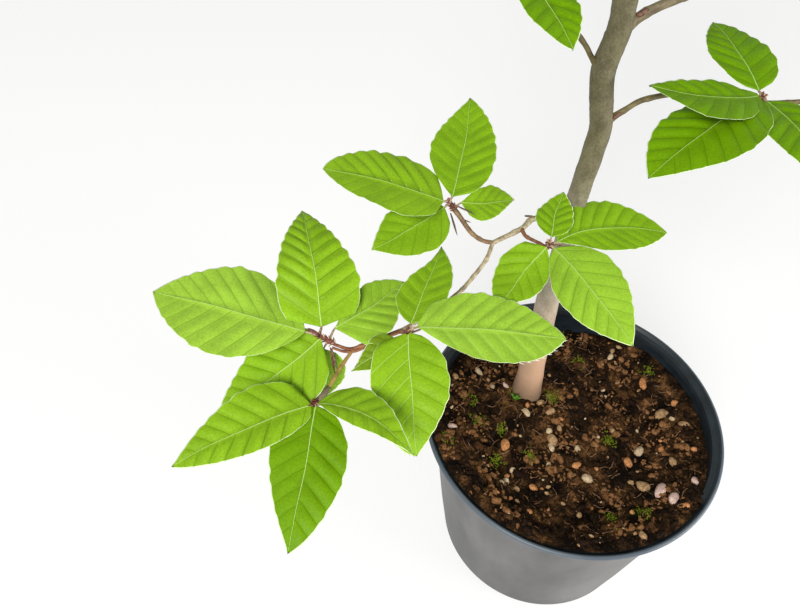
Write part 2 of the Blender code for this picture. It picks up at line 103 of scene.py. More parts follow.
def applied(obj: bpy.types.Object) -> bpy.types.Object:
    """The object with its modifiers applied and its place moved into its mesh."""
    select(obj)
    for modifier in list(obj.modifiers):
        bpy.ops.object.modifier_apply(modifier=modifier.name)
    bpy.ops.object.transform_apply(location=True, rotation=True, scale=True)
    return obj


def settled(piece: bpy.types.Object, slot: str, *nodes: str) -> bpy.types.Object:
    """A finished piece, riding on the tree in place of the nodes that it stands for."""
    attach(piece, BODY)
    if nodes:
        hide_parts(*nodes)
    log.info("%s: %d faces", piece.name, len(piece.data.polygons))
    return piece


def quads(rows: int, wide: int, closed: bool = False) -> np.ndarray:
    """The faces of a grid of points.

    Args:
        rows: how many rows of points there are.
        wide: how many points a row has.
        closed: whether the last point of a row joins its first.

    Returns:
        One line of four corner numbers for each face.
    """
    row, column = np.meshgrid(np.arange(rows - 1), np.arange(wide if closed else wide - 1), indexing="ij")
    row, column = row.ravel() * wide, column.ravel()
    after = (column + 1) % wide
    return np.stack([row + column, row + after, row + wide + after, row + wide + column], 1)


def smooth_line(points: list, step: float) -> np.ndarray:
    """A dense, smooth line through these points, with a point about every step."""
    points = [np.array(point) for point in points]
    ends = [points[0] * 2 - points[1], *points, points[-1] * 2 - points[-2]]
    line = []
    for before, first, last, after in zip(ends, ends[1:], ends[2:], ends[3:]):
        count = max(2, round(float(np.linalg.norm(last - first)) / step))
        for t in np.arange(count) / count:
            line.append(0.5 * (2 * first + (last - before) * t
                               + (2 * before - 5 * first + 4 * last - after) * t**2
                               + (3 * first - before - 3 * last + after) * t**3))
    return np.array([*line, points[-1]])


def tube(line: np.ndarray, radii: np.ndarray, sides: int) -> tuple:
    """A closed round sweep along a line.

    Args:
        line: the points of its middle line.
        radii: its radius at each point, or at each point and side.
        sides: how many corners its section has.

    Returns:
        Its points and its faces.
    """
    along = np.gradient(line, axis=0)
    along /= np.linalg.norm(along, axis=1)[:, None]
    side = np.eye(3)[np.argmin(abs(along[0]))]
    turns = 2 * np.pi * np.arange(sides) / sides
    rings = [np.repeat(line[:1], sides, 0)]
    for middle, way, radius in zip(line, along, radii):
        side = side - way * (side @ way)
        side = side / np.linalg.norm(side)
        out = np.outer(np.cos(turns), side) + np.outer(np.sin(turns), np.cross(way, side))
        rings.append(middle + out * np.reshape(radius, (-1, 1)))
    rings.append(np.repeat(line[-1:], sides, 0))
    return np.concatenate(rings), quads(len(rings), sides, True)


class Heap:
    """Many small closed shapes, gathered as arrays and made into one piece."""

    def __init__(self) -> None:
        """Starts with nothing in it."""
        self.points, self.corners, self.sizes, self.kinds = [], [], [], []
        self.count = 0

    def add(self, points: np.ndarray, faces: np.ndarray, kinds: object = 0) -> None:
        """Adds a shape.

        Args:
            points: its points.
            faces: its faces, all with as many corners.
            kinds: the material number of all its faces, or of each.
        """
        self.points.append(points)
        self.corners.append((faces + self.count).ravel())
        self.sizes.append(np.full(len(faces), faces.shape[1]))
        self.kinds.append(np.broadcast_to(kinds, len(faces)))
        self.count += len(points)

    def made(self, name: str, materials: list, smooth: bool = True) -> bpy.types.Object:
        """One object of all the shapes, with touching points merged and its faces turned outwards."""
        mesh = bpy.data.meshes.new(name)
        corners, sizes = np.concatenate(self.corners), np.concatenate(self.sizes)
        mesh.vertices.add(self.count)
        mesh.vertices.foreach_set("co", np.concatenate(self.points).astype(np.float32).ravel())
        mesh.loops.add(len(corners))
        mesh.loops.foreach_set("vertex_index", corners.astype(np.int32))
        mesh.polygons.add(len(sizes))
        mesh.polygons.foreach_set("loop_start", (np.cumsum(sizes) - sizes).astype(np.int32))
        mesh.polygons.foreach_set("material_index", np.concatenate(self.kinds).astype(np.int32))
        mesh.update(calc_edges=True)
        for finish in materials:
            mesh.materials.append(finish)
        shape = bmesh.new()
        shape.from_mesh(mesh)
        bmesh.ops.remove_doubles(shape, verts=shape.verts, dist=1e-6)
        bmesh.ops.recalc_face_normals(shape, faces=shape.faces)
        shape.to_mesh(mesh)
        shape.free()
        if smooth:
            mesh.shade_smooth()
        made = bpy.data.objects.new(name, mesh)
        bpy.context.scene.collection.objects.link(made)
        return made


class Value:
    """A shader socket with arithmetic: each operator adds a Math node."""

    def __init__(self, dresser: "Dresser", socket: bpy.types.NodeSocket) -> None:
        """Keeps the material's dresser and the socket."""
        self.dresser = dresser
        self.socket = socket

    def maths(self, operation: str, *values: object) -> "Value":
        """A Math node of this operation on the values."""
        return self.dresser.add("ShaderNodeMath", {"operation": operation}, dict(enumerate(values)))

    def __add__(self, other: object) -> "Value":
        """The sum."""
        return self.maths("ADD", self, other)

    def __sub__(self, other: object) -> "Value":
        """The difference."""
        return self.maths("SUBTRACT", self, other)

    def __rsub__(self, other: object) -> "Value":
        """The difference, the other way round."""
        return self.maths("SUBTRACT", other, self)

    def __mul__(self, other: object) -> "Value":
        """The product."""
        return self.maths("MULTIPLY", self, other)

    __radd__ = __add__
    __rmul__ = __mul__


class Dresser:
    """Builds one Principled material out of procedural nodes."""

    def __init__(self, name: str) -> None:
        """Starts a material of this name with only its shader."""
        self.material = bpy.data.materials.new(name)
        self.material.use_nodes = True
        self.nodes = self.material.node_tree.nodes
        self.links = self.material.node_tree.links
        self.shader = self.nodes["Principled BSDF"]

    def put(self, socket: bpy.types.NodeSocket, value: object) -> None:
        """Links or sets one input socket."""
        if isinstance(value, Value):
            self.links.new(value.socket, socket)
        elif isinstance(value, tuple) and len(value) == 3 and socket.type == "RGBA":
            socket.default_value = (*value, 1.0)
        else:
            socket.default_value = value

    def add(self, kind: str, settings: dict, inputs: dict, output: object = 0) -> Value:
        """A node of this kind.

        Args:
            kind: the node's type.
            settings: its own settings; "stops" gives a ramp's (place, colour) pairs.
            inputs: the values or links of its sockets, by name or number.
            output: the socket to return.

        Returns:
            The output socket as a Value.
        """
        node = self.nodes.new(kind)
        for name, value in settings.items():
            if name == "stops":
                ramp = node.color_ramp
                while len(ramp.elements) < len(value):
                    ramp.elements.new(0.5)
                for element, (place, colour) in zip(ramp.elements, value):
                    element.position = place
                    element.color = (*colour, 1.0)
            else:
                setattr(node, name, value)
        for name, value in inputs.items():
            self.put(node.inputs[name], value)
        return Value(self, node.outputs[output])

    def place(self, stretch: tuple = (1.0, 1.0, 1.0)) -> Value:
        """Object coordinates, stretched by a factor along each axis."""
        spot = self.add("ShaderNodeTexCoord", {}, {}, "Object")
        return self.add("ShaderNodeMapping", {}, {"Vector": spot, "Scale": stretch})

    def height(self) -> Value:
        """The height above the pot's underside."""
        return self.add("ShaderNodeSeparateXYZ", {}, {0: self.place()}, "Z")

    def rise(self, value: Value, low: float, high: float) -> Value:
        """A smooth step from 0 where the value is low to 1 where it is high."""
        return self.add("ShaderNodeMapRange", {"interpolation_type": "SMOOTHSTEP"}, {0: value, 1: low, 2: high})

    def speckle(self, spot: Value, scale: float, detail: float = 3.0, rough: float = 0.55) -> Value:
        """Noise of this scale at a place."""
        inputs = {"Vector": spot, "Scale": scale, "Detail": detail, "Roughness": rough}
        return self.add("ShaderNodeTexNoise", {}, inputs)

    def ramp(self, value: Value, stops: tuple) -> Value:
        """Colours read off a ramp."""
        return self.add("ShaderNodeValToRGB", {"stops": stops}, {"Fac": value})

    def between(self, share: object, first: object, last: object) -> Value:
        """A mix of two colours."""
        settings = {"data_type": "RGBA"}
        return self.add("ShaderNodeMix", settings, {0: share, 6: first, 7: last}, 2)

    def bump(self, height: Value, strength: float, distance: float) -> None:
        """Feeds the shader's normal with a bump of this height."""
        inputs = {"Height": height, "Strength": strength, "Distance": distance}
        self.put(self.shader.inputs["Normal"], self.add("ShaderNodeBump", {}, inputs, "Normal"))

    def finish(self, **values: object) -> bpy.types.Material:
        """Sets the shader's sockets, with _ for a space in a name, and returns the material."""
        for name, value in values.items():
            self.put(self.shader.inputs[name.replace("_", " ")], value)
        return self.material


class Tone(Enum):
    """The greens that leaves are dealt, as base colours."""

    LIGHT = (0.320, 0.52, 0.045)
    PALE = (0.290, 0.49, 0.042)
    SOFT = (0.240, 0.42, 0.028)
    FRESH = (0.200, 0.37, 0.010)
    GRASS = (0.178, 0.34, 0.007)
    DEEP = (0.128, 0.27, 0.001)
    OLIVE = (0.150, 0.25, 0.010)


class Part(Enum):
    """The parts of a leaf that have a finish of their own; the last three are there in every green."""

    RIB = 0
    RIM = 1
    PALE_VEIN = 2
    BLADE = 3
    VEIN = 4
    UNDER = 5


@dataclass(frozen=True)
class LeafFinish:
    """Softly glossy greens, with a pale midrib, a cream edge, and side veins painted darker as painted shade in the
    grooves of the pleats.
    """

    rib: tuple = (0.42, 0.58, 0.19)
    rim: tuple = (0.62, 0.74, 0.42)
    pale_vein: tuple = (0.29, 0.49, 0.070)
    underside: tuple = (0.30, 0.42, 0.14)
    vein_painted_shade: float = 0.77
    roughness: float = 0.5

    def paint(self, name: str, colour: tuple, mottled: bool = True) -> bpy.types.Material:
        """One of the leaf's colours, faintly mottled unless it is a thin line."""
        dress = Dresser(name)
        if mottled:
            fine = dress.speckle(dress.place(), 1400.0, 4.0, 0.6)
            broad = dress.speckle(dress.place(), 90.0, 2.0, 0.5)
            low, high = (tuple(part * share for part in colour) for share in (0.85, 1.13))
            colour = dress.ramp(fine * 0.6 + broad * 0.4, ((0.40, low), (0.60, high)))
            dress.bump(fine, 0.18, 0.0002)
        return dress.finish(Base_Color=colour, Roughness=self.roughness, Specular_IOR_Level=0.12)

    def materials(self) -> list:
        """The common finishes and then those of each green."""
        made = [self.paint("leaf_rib", self.rib, False), self.paint("leaf_rim", self.rim, False),
                self.paint("leaf_vein_pale", self.pale_vein, False)]
        for tone in Tone:
            name = f"leaf_{tone.name.lower()}"
            # The side veins' colour is the green darkened: painted shade in the valleys of the pleats.
            vein = tuple(part * self.vein_painted_shade for part in tone.value)
            under = tuple(mix(*pair, 0.5) for pair in zip(tone.value, self.underside))
            made += [self.paint(name, tone.value), self.paint(f"{name}_vein", vein, False),
                     self.paint(f"{name}_under", under)]
        return made

    def numbers(self, tone: Tone) -> np.ndarray:
        """The material numbers of a leaf's parts in one green."""
        shift = 3 * list(Tone).index(tone)
        return np.array([0, 1, 2, 3 + shift, 4 + shift, 5 + shift])


class Bark(Enum):
    """The barks of the boughs and twigs, as (dark, light) base colours."""

    TAN = ((0.17, 0.125, 0.072), (0.47, 0.395, 0.27))
    GREY = ((0.085, 0.062, 0.035), (0.20, 0.160, 0.090))
    DUN = ((0.061, 0.046, 0.016), (0.150, 0.118, 0.040))
    OLIVE = ((0.19, 0.100, 0.022), (0.35, 0.23, 0.055))
    BROWN = ((0.085, 0.042, 0.018), (0.26, 0.160, 0.080))
    RED = ((0.13, 0.034, 0.014), (0.33, 0.145, 0.07))

    def material(self) -> bpy.types.Material:
        """This bark, mottled along the limb."""
        dress = Dresser(f"bark_{self.name.lower()}")
        mottle = dress.speckle(dress.place(), 420.0, 5.0, 0.62)
        dress.bump(dress.speckle(dress.place(), 1600.0, 3.0), 0.35, 0.0003)
        dark, light = self.value
        return dress.finish(Base_Color=dress.ramp(mottle, ((0.34, dark), (0.64, light))), Roughness=0.62)


@dataclass(frozen=True)
class TrunkFinish:
    """Smooth grey-olive bark with pale mottling, paler below the boughs and pinkish tan at the foot, with painted
    shade darkening it just above the soil.
    """

    dark: tuple = (0.070, 0.059, 0.027)
    light: tuple = (0.138, 0.120, 0.062)
    pale_dark: tuple = (0.27, 0.235, 0.17)
    pale_light: tuple = (0.42, 0.38, 0.30)
    foot: tuple = (0.52, 0.315, 0.20)
    pale_from: float = 266 * MM
    pale_to: float = 203 * MM
    foot_from: float = 200 * MM
    foot_to: float = 128 * MM
    foot_painted_shade: tuple = (0.14, 0.09, 0.05)
    painted_shade_from: float = 131 * MM
    painted_shade_to: float = 109 * MM

    def material(self) -> bpy.types.Material:
        """The bark's material."""
        dress = Dresser("bark")
        height = dress.height()
        broad = dress.speckle(dress.place((1.0, 1.0, 0.7)), 230.0, 3.0, 0.5)
        mottle = broad * 0.45 + dress.speckle(dress.place((1.0, 1.0, 0.8)), 1500.0, 4.0, 0.6) * 0.55
        high = dress.ramp(mottle, ((0.40, self.dark), (0.60, self.light)))
        low = dress.ramp(mottle, ((0.40, self.pale_dark), (0.60, self.pale_light)))
        shade = dress.between(1 - dress.rise(height, self.pale_to, self.pale_from), high, low)
        pink = 1 - dress.rise(height, self.foot_to, self.foot_from)
        shade = dress.between(pink * (0.7 + mottle * 0.4), shade, self.foot)
        # Painted shade: the bark darkens towards the soil, from 131 mm down to 109 mm.
        painted_shade = 1 - dress.rise(height + mottle * 0.006, self.painted_shade_to, self.painted_shade_from)
        shade = dress.between(painted_shade * 0.8, shade, self.foot_painted_shade)
        dress.bump(dress.speckle(dress.place((1.0, 1.0, 0.3)), 1300.0, 4.0), 0.5, 0.0004)
        return dress.finish(Base_Color=shade, Roughness=0.68)


@dataclass(frozen=True)
class SprigFinish:
    """The small red-brown and tan things round a spray's centre."""

    name: str
    dark: tuple
    light: tuple

    def material(self) -> bpy.types.Material:
        """The material, finely streaked."""
        dress = Dresser(self.name)
        mottle = dress.speckle(dress.place(), 900.0, 4.0, 0.6)
        return dress.finish(Base_Color=dress.ramp(mottle, ((0.35, self.dark), (0.65, self.light))), Roughness=0.6)


SPRIGS = (
    SprigFinish("bud_scale", (0.06, 0.014, 0.010), (0.24, 0.070, 0.045)),
    SprigFinish("leaf_stalk", (0.20, 0.12, 0.07), (0.42, 0.33, 0.20)),
    SprigFinish("long_bud", (0.06, 0.035, 0.022), (0.20, 0.12, 0.07)),
    SprigFinish("stipule", (0.30, 0.19, 0.12), (0.62, 0.46, 0.32)),
    SprigFinish("scar", (0.05, 0.024, 0.013), (0.20, 0.095, 0.055)),
)


@dataclass(frozen=True)
class PotFinish:
    """Satin grey plastic: a mid grey wall and a blue-grey lip; the inside is painted near black as painted shade."""

    wall_low: tuple = (0.050, 0.050, 0.050)
    wall_high: tuple = (0.120, 0.118, 0.115)
    lip_low: tuple = (0.056, 0.074, 0.098)
    lip_high: tuple = (0.078, 0.100, 0.125)
    # Painted shade: near-black colours for the inside of the pot.
    inside_painted_shade_low: tuple = (0.006, 0.010, 0.014)
    inside_painted_shade_high: tuple = (0.013, 0.021, 0.029)

    def wall(self) -> bpy.types.Material:
        """The outer wall, with faint clouds and a fine grain."""
        dress = Dresser("pot_wall")
        cloud = dress.speckle(dress.place((1.0, 1.0, 0.4)), 24.0, 5.0, 0.6)
        dress.bump(dress.speckle(dress.place(), 2400.0, 2.0), 0.15, 0.0002)
        colour = dress.ramp(cloud, ((0.38, self.wall_low), (0.62, self.wall_high)))
        return dress.finish(Base_Color=colour, Roughness=0.42 + cloud * 0.15)

    def lip(self) -> bpy.types.Material:
        """The lip's smoother, bluer plastic."""
        dress = Dresser("pot_lip")
        cloud = dress.speckle(dress.place(), 60.0, 3.0)
        colour = dress.ramp(cloud, ((0.3, self.lip_low), (0.7, self.lip_high)))
        return dress.finish(Base_Color=colour, Roughness=0.45)

    def inside(self) -> bpy.types.Material:
        """The inner wall and the inner side of the lip's bead, painted near black as painted shade."""
        dress = Dresser("pot_inside")
        cloud = dress.speckle(dress.place((1.0, 1.0, 3.0)), 90.0, 4.0)
        colour = dress.ramp(cloud, ((0.35, self.inside_painted_shade_low), (0.7, self.inside_painted_shade_high)))
        return dress.finish(Base_Color=colour, Roughness=0.45)


class Crumb(Enum):
    """What lies on the soil, as (dark, light) base colours."""

    BLACK = ((0.005, 0.003, 0.002), (0.024, 0.012, 0.006))
    BROWN = ((0.022, 0.009, 0.003), (0.088, 0.041, 0.016))
    RUST = ((0.085, 0.036, 0.013), (0.270, 0.130, 0.054))
    TAN = ((0.180, 0.100, 0.045), (0.440, 0.280, 0.150))
    ORANGE = ((0.260, 0.100, 0.035), (0.560, 0.260, 0.110))
    CREAM = ((0.320, 0.230, 0.130), (0.620, 0.480, 0.320))
    PINK = ((0.380, 0.230, 0.190), (0.700, 0.520, 0.460))
    FIBRE = ((0.110, 0.055, 0.030), (0.300, 0.170, 0.095))
    MOSS = ((0.040, 0.060, 0.004), (0.170, 0.210, 0.014))
    SHOOT = ((0.050, 0.140, 0.010), (0.120, 0.280, 0.030))

    def material(self) -> bpy.types.Material:
        """This crumb's finish, rough and mottled."""
        dress = Dresser(f"crumb_{self.name.lower()}")
        mottle = dress.speckle(dress.place(), 700.0, 4.0, 0.6)
        dress.bump(mottle, 0.4, 0.0004)
        dark, light = self.value
        return dress.finish(Base_Color=dress.ramp(mottle, ((0.34, dark), (0.66, light))), Roughness=0.9,
                            Specular_IOR_Level=0.08)


@dataclass(frozen=True)
class SoilFinish:
    """Moist compost: near black with brown and rusty patches."""

    stops: tuple = ((0.43, (0.004, 0.002, 0.001)), (0.53, (0.030, 0.014, 0.005)), (0.62, (0.140, 0.066, 0.024)))

    def material(self) -> bpy.types.Material:
        """The soil's material."""
        dress = Dresser("soil")
        clods = dress.speckle(dress.place(), 110.0, 5.0, 0.62)
        fine = dress.speckle(dress.place(), 900.0, 4.0, 0.6)
        dress.bump(fine, 0.8, 0.0010)
        colour = dress.ramp(clods * 0.7 + fine * 0.3, self.stops)
        return dress.finish(Base_Color=colour, Roughness=0.9, Specular_IOR_Level=0.08)


class Edge(Enum):
    """Outlines of one half of a blade, as the powers of its widening from the stalk and narrowing to the tip."""

    OVATE = (0.64, 0.97)
    BROAD = (0.5, 0.76)
    ROUND = (0.35, 0.55)
    TAPERED = (0.48, 1.08)
    SPINDLE = (0.8, 0.9)
    LATE = (1.15, 0.92)
    DRAWN = (1.1, 1.25)
    FULL = (0.75, 0.7)
    SHOULDER = (0.8, 1.8)
    BLUNT = (0.3, 1.0)

    def width(self, along: np.ndarray) -> np.ndarray:
        """The half width at shares of the length, as a share of the largest."""
        foot, tip = self.value
        peak = foot / (foot + tip)
        along = np.clip(along, 0.0, 1.0)
        return (along / peak) ** foot * ((1 - along) / (1 - peak)) ** tip


@dataclass(frozen=True)
class Leaf:
    """One leaf, from its spray's centre to its tip; lengths in millimetres, angles in degrees.

    Lean widens the left half, as seen from the stalk, and narrows the right one. Sway bends the midrib to
    the left and arch bends it up, as shares of the blade. Rake sweeps the left half's veins further
    forward, crease scales the pleats, ease scales those of the right half once more, and lift raises the
    blade. A young leaf has pale veins in its right half, and hairs.
    """

    heading: float
    pitch: float
    length: float
    width: float
    lean: float = 0.0
    sway: float = 0.0
    arch: float = 0.05
    left: Edge = Edge.OVATE
    right: Edge = Edge.OVATE
    stalk: float = 3.0
    roll: float = 0.0
    tone: Tone | None = None
    rake: float = 0.0
    crease: float = 1.0
    lift: float = 0.0
    young: bool = False
    ease: float = 1.0

    def turn(self) -> Matrix:
        """The matrix from the leaf's own plane to its spray's."""
        spin = Matrix.Translation((0, 0, self.lift * MM)) @ Matrix.Rotation(math.radians(self.heading), 4, "Z")
        return spin @ Matrix.Rotation(math.radians(-self.pitch), 4, "Y") @ Matrix.Rotation(
            math.radians(self.roll), 4, "X")


@dataclass(frozen=True)
class Spray:
    """The leaves round one bud, in a plane that faces heading and is tilted up by tilt."""

    node: str
    centre: Vector
    leaves: tuple
    tone: Tone = Tone.FRESH
    heading: float = 0.0
    tilt: float = 0.0
    spur: tuple = ()

    def frame(self) -> Matrix:
        """The matrix from the spray's own plane to the tree."""
        turn = Matrix.Rotation(math.radians(self.heading), 4, "Z")
        tilt = Matrix.Rotation(math.radians(-self.tilt), 4, "Y")
        return Matrix.Translation(self.centre) @ turn @ tilt


@dataclass(frozen=True)
class Limb:
    """One tapering limb through its points."""

    node: str
    points: tuple
    foot_radius: float
    tip_radius: float
    bark: Bark = Bark.TAN
    young: bool = False
    collar: float = 0.15
    knots: tuple = ()


@dataclass
class LeafShape:
    """A pleated blade: rows that run along its side veins, in two halves beside a midrib.

    The veins of the two halves alternate, and no face crosses a vein or the crest of a pleat.
    """

    spacing: float = 7.2
    most: int = 8
    phases: tuple = (0.0, 0.07, 0.20, 0.40, 0.60, 0.80)
    columns: tuple = (0.18, 0.40, 0.62, 0.82)
    fan: int = 3
    vein_end: float = 0.94
    sweep_foot: float = 0.60
    sweep_tip: float = 1.10
    height: float = 1.0
    scallop: float = 0.018
    wave: float = 0.55
    keel: float = 0.048
    rib_half: float = 0.17
    rim: float = 0.19
    thick: float = 0.20
    rib_drop: float = 0.45
    wander: float = 0.28

    def pleats(self, leaf: Leaf) -> int:
        """How many pleats a half of the leaf has."""
        return max(5, min(self.most, round(leaf.length / self.spacing)))

    def rows(self, leaf: Leaf, side: int) -> tuple:
        """Where the rows of one half start on the midrib, where they meet the margin, and their pleat phase.

        Args:
            leaf: the leaf's size and outline.
            side: 1 for the left half and -1 for the right one.

        Returns:
            Three arrays, from the stalk to the tip.
        """
        reach = leaf.width / 2 * (1 + side * leaf.lean) / (leaf.length - leaf.stalk)
        edge = leaf.left if side > 0 else leaf.right
        pleats = self.pleats(leaf)
        step = self.vein_end / (pleats + 0.6)
        first = step * (0.3 if side > 0 else 0.6)
        starts = [first + step * (pleat + phase) for pleat in range(pleats) for phase in self.phases]
        starts.append(first + step * pleats)
        stations = np.linspace(0.0, 1.0, 400)
        ends = []
        for start in starts:
            sweep = mix(self.sweep_foot, self.sweep_tip, start) * (1 + side * leaf.rake)
            meets = stations - sweep * reach * edge.width(stations)
            dip = int(np.argmin(meets))
            ends.append(float(np.interp(start, np.maximum.accumulate(meets[dip:]), stations[dip:])))
        shares = np.arange(1, self.fan + 1) / (self.fan + 1)
        tip = [mix(starts[-1], 1.0, 0.55), 1.0]
        starts = np.array([0.0, *(starts[0] * shares**2), *starts, *tip])
        ends = np.array([0.0, *(ends[0] * shares), *ends, mix(ends[-1], 1.0, 0.55), 1.0])
        phases = np.array([0.0, *(0.5 + 0.5 * shares), *(self.phases * pleats), 0.0, 0.0, 0.0])
        return starts, np.maximum.accumulate(ends), phases

    def half(self, leaf: Leaf, side: int, wave: float) -> np.ndarray:
        """The points of one half of the top surface, by row and from the midrib out, in millimetres."""
        starts, ends, phases = (part[:, None] for part in self.rows(leaf, side))
        blade = leaf.length - leaf.stalk
        edge = leaf.left if side > 0 else leaf.right
        half = leaf.width / 2 * (1 + side * leaf.lean) * edge.width(ends)
        half = half * (1 - self.scallop * np.cos(2 * np.pi * phases) * (1 + 0.7 * np.sin(wave + 25 * ends)))
        rib = np.minimum(self.rib_half * (1 - 0.75 * starts), half * 0.5)
        rim = 1 - self.rim / np.maximum(half, self.rim * 4)
        even = np.broadcast_to(np.array([0.0, *self.columns]), (len(half), len(self.columns) + 1))
        out = np.concatenate([even, rim, np.ones_like(rim)], 1)
        across = rib + (half - rib) * out
        along = starts + (ends - starts) * out**1.1
        fade = np.sin(np.pi * np.minimum(ends / 0.97, 1.0)) ** 0.5
        crease = leaf.crease * (1.0 if side > 0 else leaf.ease)
        relief = self.height * crease * np.sin(np.pi * phases) ** 0.8 * fade
        relief = relief * np.minimum(out * 3.5, 1.0) * (1 - 0.6 * out**3)
        relief = relief + self.wave * out**3 * np.sin(wave + 11 * ends) * np.sin(5 * ends + wave * 2) * fade
        bow = 4 * along * (1 - along) * blade
        aside = leaf.sway * bow + self.wander * np.sin(leaf.heading + 8 * along) * np.sin(np.pi * along)
        return np.stack([leaf.stalk + along * blade, side * across + aside,
                         leaf.arch * bow + self.keel * across + relief], 2)

    def made(self, leaf: Leaf, place: Matrix, rule: random.Random) -> tuple:
        """One closed leaf in its place.

        Args:
            leaf: the leaf's size and bend.
            place: the matrix from the spray's plane to the tree.
            rule: the seeded source of its small differences.

        Returns:
            Its points, its faces, the part of each face, and the grid of its top surface.
        """
        left = self.half(leaf, 1, rule.uniform(0, 6.28))
        right = self.half(leaf, -1, rule.uniform(0, 6.28))
        middle = (left[:, :1] + right[:, :1]) / 2 + [0, 0, 0.1]
        top = np.concatenate([left[:, ::-1], middle, right], 1)
        rows, wide = top.shape[:2]
        share = abs(np.linspace(-1, 1, wide)) ** 3
        under = top[:, 1:-1].copy()
        under[:, :, 2] -= self.thick * (1 - share[1:-1])
        under[:, wide // 2 - 1, 2] -= self.rib_drop
        points = np.concatenate([top.reshape(-1, 3), under.reshape(-1, 3)])
        number = np.arange(rows * wide).reshape(rows, wide)
        below = number.copy()
        below[:, 1:-1] = rows * wide + np.arange(rows * (wide - 2)).reshape(rows, wide - 2)
        faces = quads(rows, wide)
        turned = below.ravel()[faces][:, ::-1]
        turn = np.array(place @ leaf.turn())
        points = points * MM @ turn[:3, :3].T + turn[:3, 3]
        grid = points[:rows * wide].reshape(rows, wide, 3)
        return points, np.concatenate([faces, turned]), self.parts(leaf, rows, wide), grid

    def parts(self, leaf: Leaf, rows: int, wide: int) -> np.ndarray:
        """The part that each face of a leaf belongs to, first on its top and then on its underside."""
        row, column = np.divmod(np.arange((rows - 1) * (wide - 1)), wide - 1)
        pleat = row - 1 - self.fan
        vein = (pleat >= 0) & (pleat < self.pleats(leaf) * len(self.phases)) & (pleat % len(self.phases) == 0)
        edge = (column == 0) | (column == wide - 2)
        rib = abs(column - (wide - 2) / 2) < 1
        line = np.where(leaf.young & (column > wide / 2), Part.PALE_VEIN.value, Part.VEIN.value)
        top = np.where(edge, Part.RIM.value, np.where(vein, line, Part.BLADE.value))
        under = np.where(rib, Part.RIB.value, Part.UNDER.value)
        return np.concatenate([np.where(rib, Part.RIB.value, top), under])


@dataclass
class Hairs:
    """Fine pale hairs that stand on the edges of the young leaves."""

    heap: Heap = field(default_factory=Heap)
    thick: float = 0.2 * MM
    lengths: tuple = (1.3 * MM, 2.2 * MM)
    spacings: tuple = (1.8 * MM, 3.6 * MM)

    def grow(self, edge: np.ndarray, inner: np.ndarray, rule: random.Random) -> None:
        """Sets hairs along an edge, leaning to the leaf's tip.

        Args:
            edge: the edge's points, from the stalk to the tip.
            inner: the points just inside them.
            rule: the seeded choice of places and lengths.
        """
        way_left = 0.0
        for k in range(len(edge) // 2, len(edge) - 1):
            way_left -= float(np.linalg.norm(edge[k] - edge[k - 1]))
            if way_left > 0:
                continue
            way_left = rule.uniform(*self.spacings)
            out, on = edge[k] - inner[k], edge[k + 1] - edge[k]
            way = out / (np.linalg.norm(out) + 1e-9) * 0.6 + on / (np.linalg.norm(on) + 1e-9) * 0.75
            way = way + [0, 0, rule.uniform(-0.3, 0.3)]
            line = np.array([edge[k] - way * 0.1 * MM, edge[k] + way * rule.uniform(*self.lengths)])
            points, _ = tube(line, np.array([self.thick, 0.0]), 3)
            points = np.concatenate([points[3:6], line[1:]])
            self.heap.add(points, np.array([(0, 2, 1), (0, 1, 3), (1, 2, 3), (2, 0, 3)]))

    def build(self) -> bpy.types.Object:
        """Makes the hairs one piece."""
        finish = Dresser("leaf_hair").finish(Base_Color=(0.78, 0.80, 0.66), Roughness=0.5)
        return settled(self.heap.made("leaf_hairs", [finish]), "foliage")


@dataclass
class Foliage:
    """The leaves of some sprays, joined by the part of the tree that they grow on."""

    sprays: list
    materials: list
    near: LeafShape = field(default_factory=LeafShape)
    far: LeafShape = field(default_factory=lambda: LeafShape(
        most=7, phases=(0.0, 0.08, 0.36, 0.68), columns=(0.34, 0.70), fan=2))

    def build(self, name: str, hairs: Hairs | None) -> bpy.types.Object:
        """Models every leaf, finely where hairs are given, and lets them stand for their masses."""
        rule = random.Random(f"{SEED} {name}")
        shape, finish, heap = self.near if hairs else self.far, LeafFinish(), Heap()
        for spray in self.sprays:
            for leaf in spray.leaves:
                points, faces, parts, grid = shape.made(leaf, spray.frame(), rule)
                heap.add(points, faces, finish.numbers(leaf.tone or spray.tone)[parts])
                if hairs and leaf.young:
                    hairs.grow(grid[:, -1], grid[:, -2], rule)
        made = heap.made(name, self.materials)
        return settled(made, "foliage", *sorted({spray.node for spray in self.sprays}))


@dataclass
class Wood:
    """Limbs as round, tapering, slightly knotty sweeps."""

    sides: int = 12
    step: float = 1.0 * MM
    roughness: float = 0.07

    def line(self, limb: Limb) -> tuple:
        """The limb's middle line, and how far along it each point is."""
        line = smooth_line(limb.points, self.step)
        ways = np.concatenate([[0.0], np.cumsum(np.linalg.norm(np.diff(line, axis=0), axis=1))])
        return line, ways

    def grow(self, heap: Heap, limb: Limb, kind: int, rule: random.Random) -> None:
        """Adds one limb with its foot, its knots and its fine relief to a heap."""
        line, ways = self.line(limb)
        long = ways[-1]
        places = [share * long for share in limb.knots]
        at = rule.uniform(5, 9) * MM
        while not limb.knots and at < long - 3 * MM:
            places.append(at)
            at += rule.uniform(7, 13) * MM
        turns = 2 * np.pi * np.arange(self.sides) / self.sides
        radii = mix(limb.foot_radius, limb.tip_radius, ways / long)[:, None]
        swell = limb.collar * np.exp(-ways / (2.2 * MM))[:, None] + np.zeros((1, self.sides))
        for place in places:
            lobe = 0.6 + 0.4 * np.cos(turns - rule.uniform(0, 6.28))
            swell += rule.uniform(0.18, 0.36) * np.exp(-(((ways - place) / (0.9 * MM)) ** 2))[:, None] * lobe
        shift = rule.uniform(0, 50)
        rough = [[noise.noise(Vector((way * 420, math.cos(turn), math.sin(turn) + shift))) for turn in turns]
                 for way in ways]
        points, faces = tube(line, radii * (1 + swell + self.roughness * np.array(rough)), self.sides)
        heap.add(points, faces, kind)


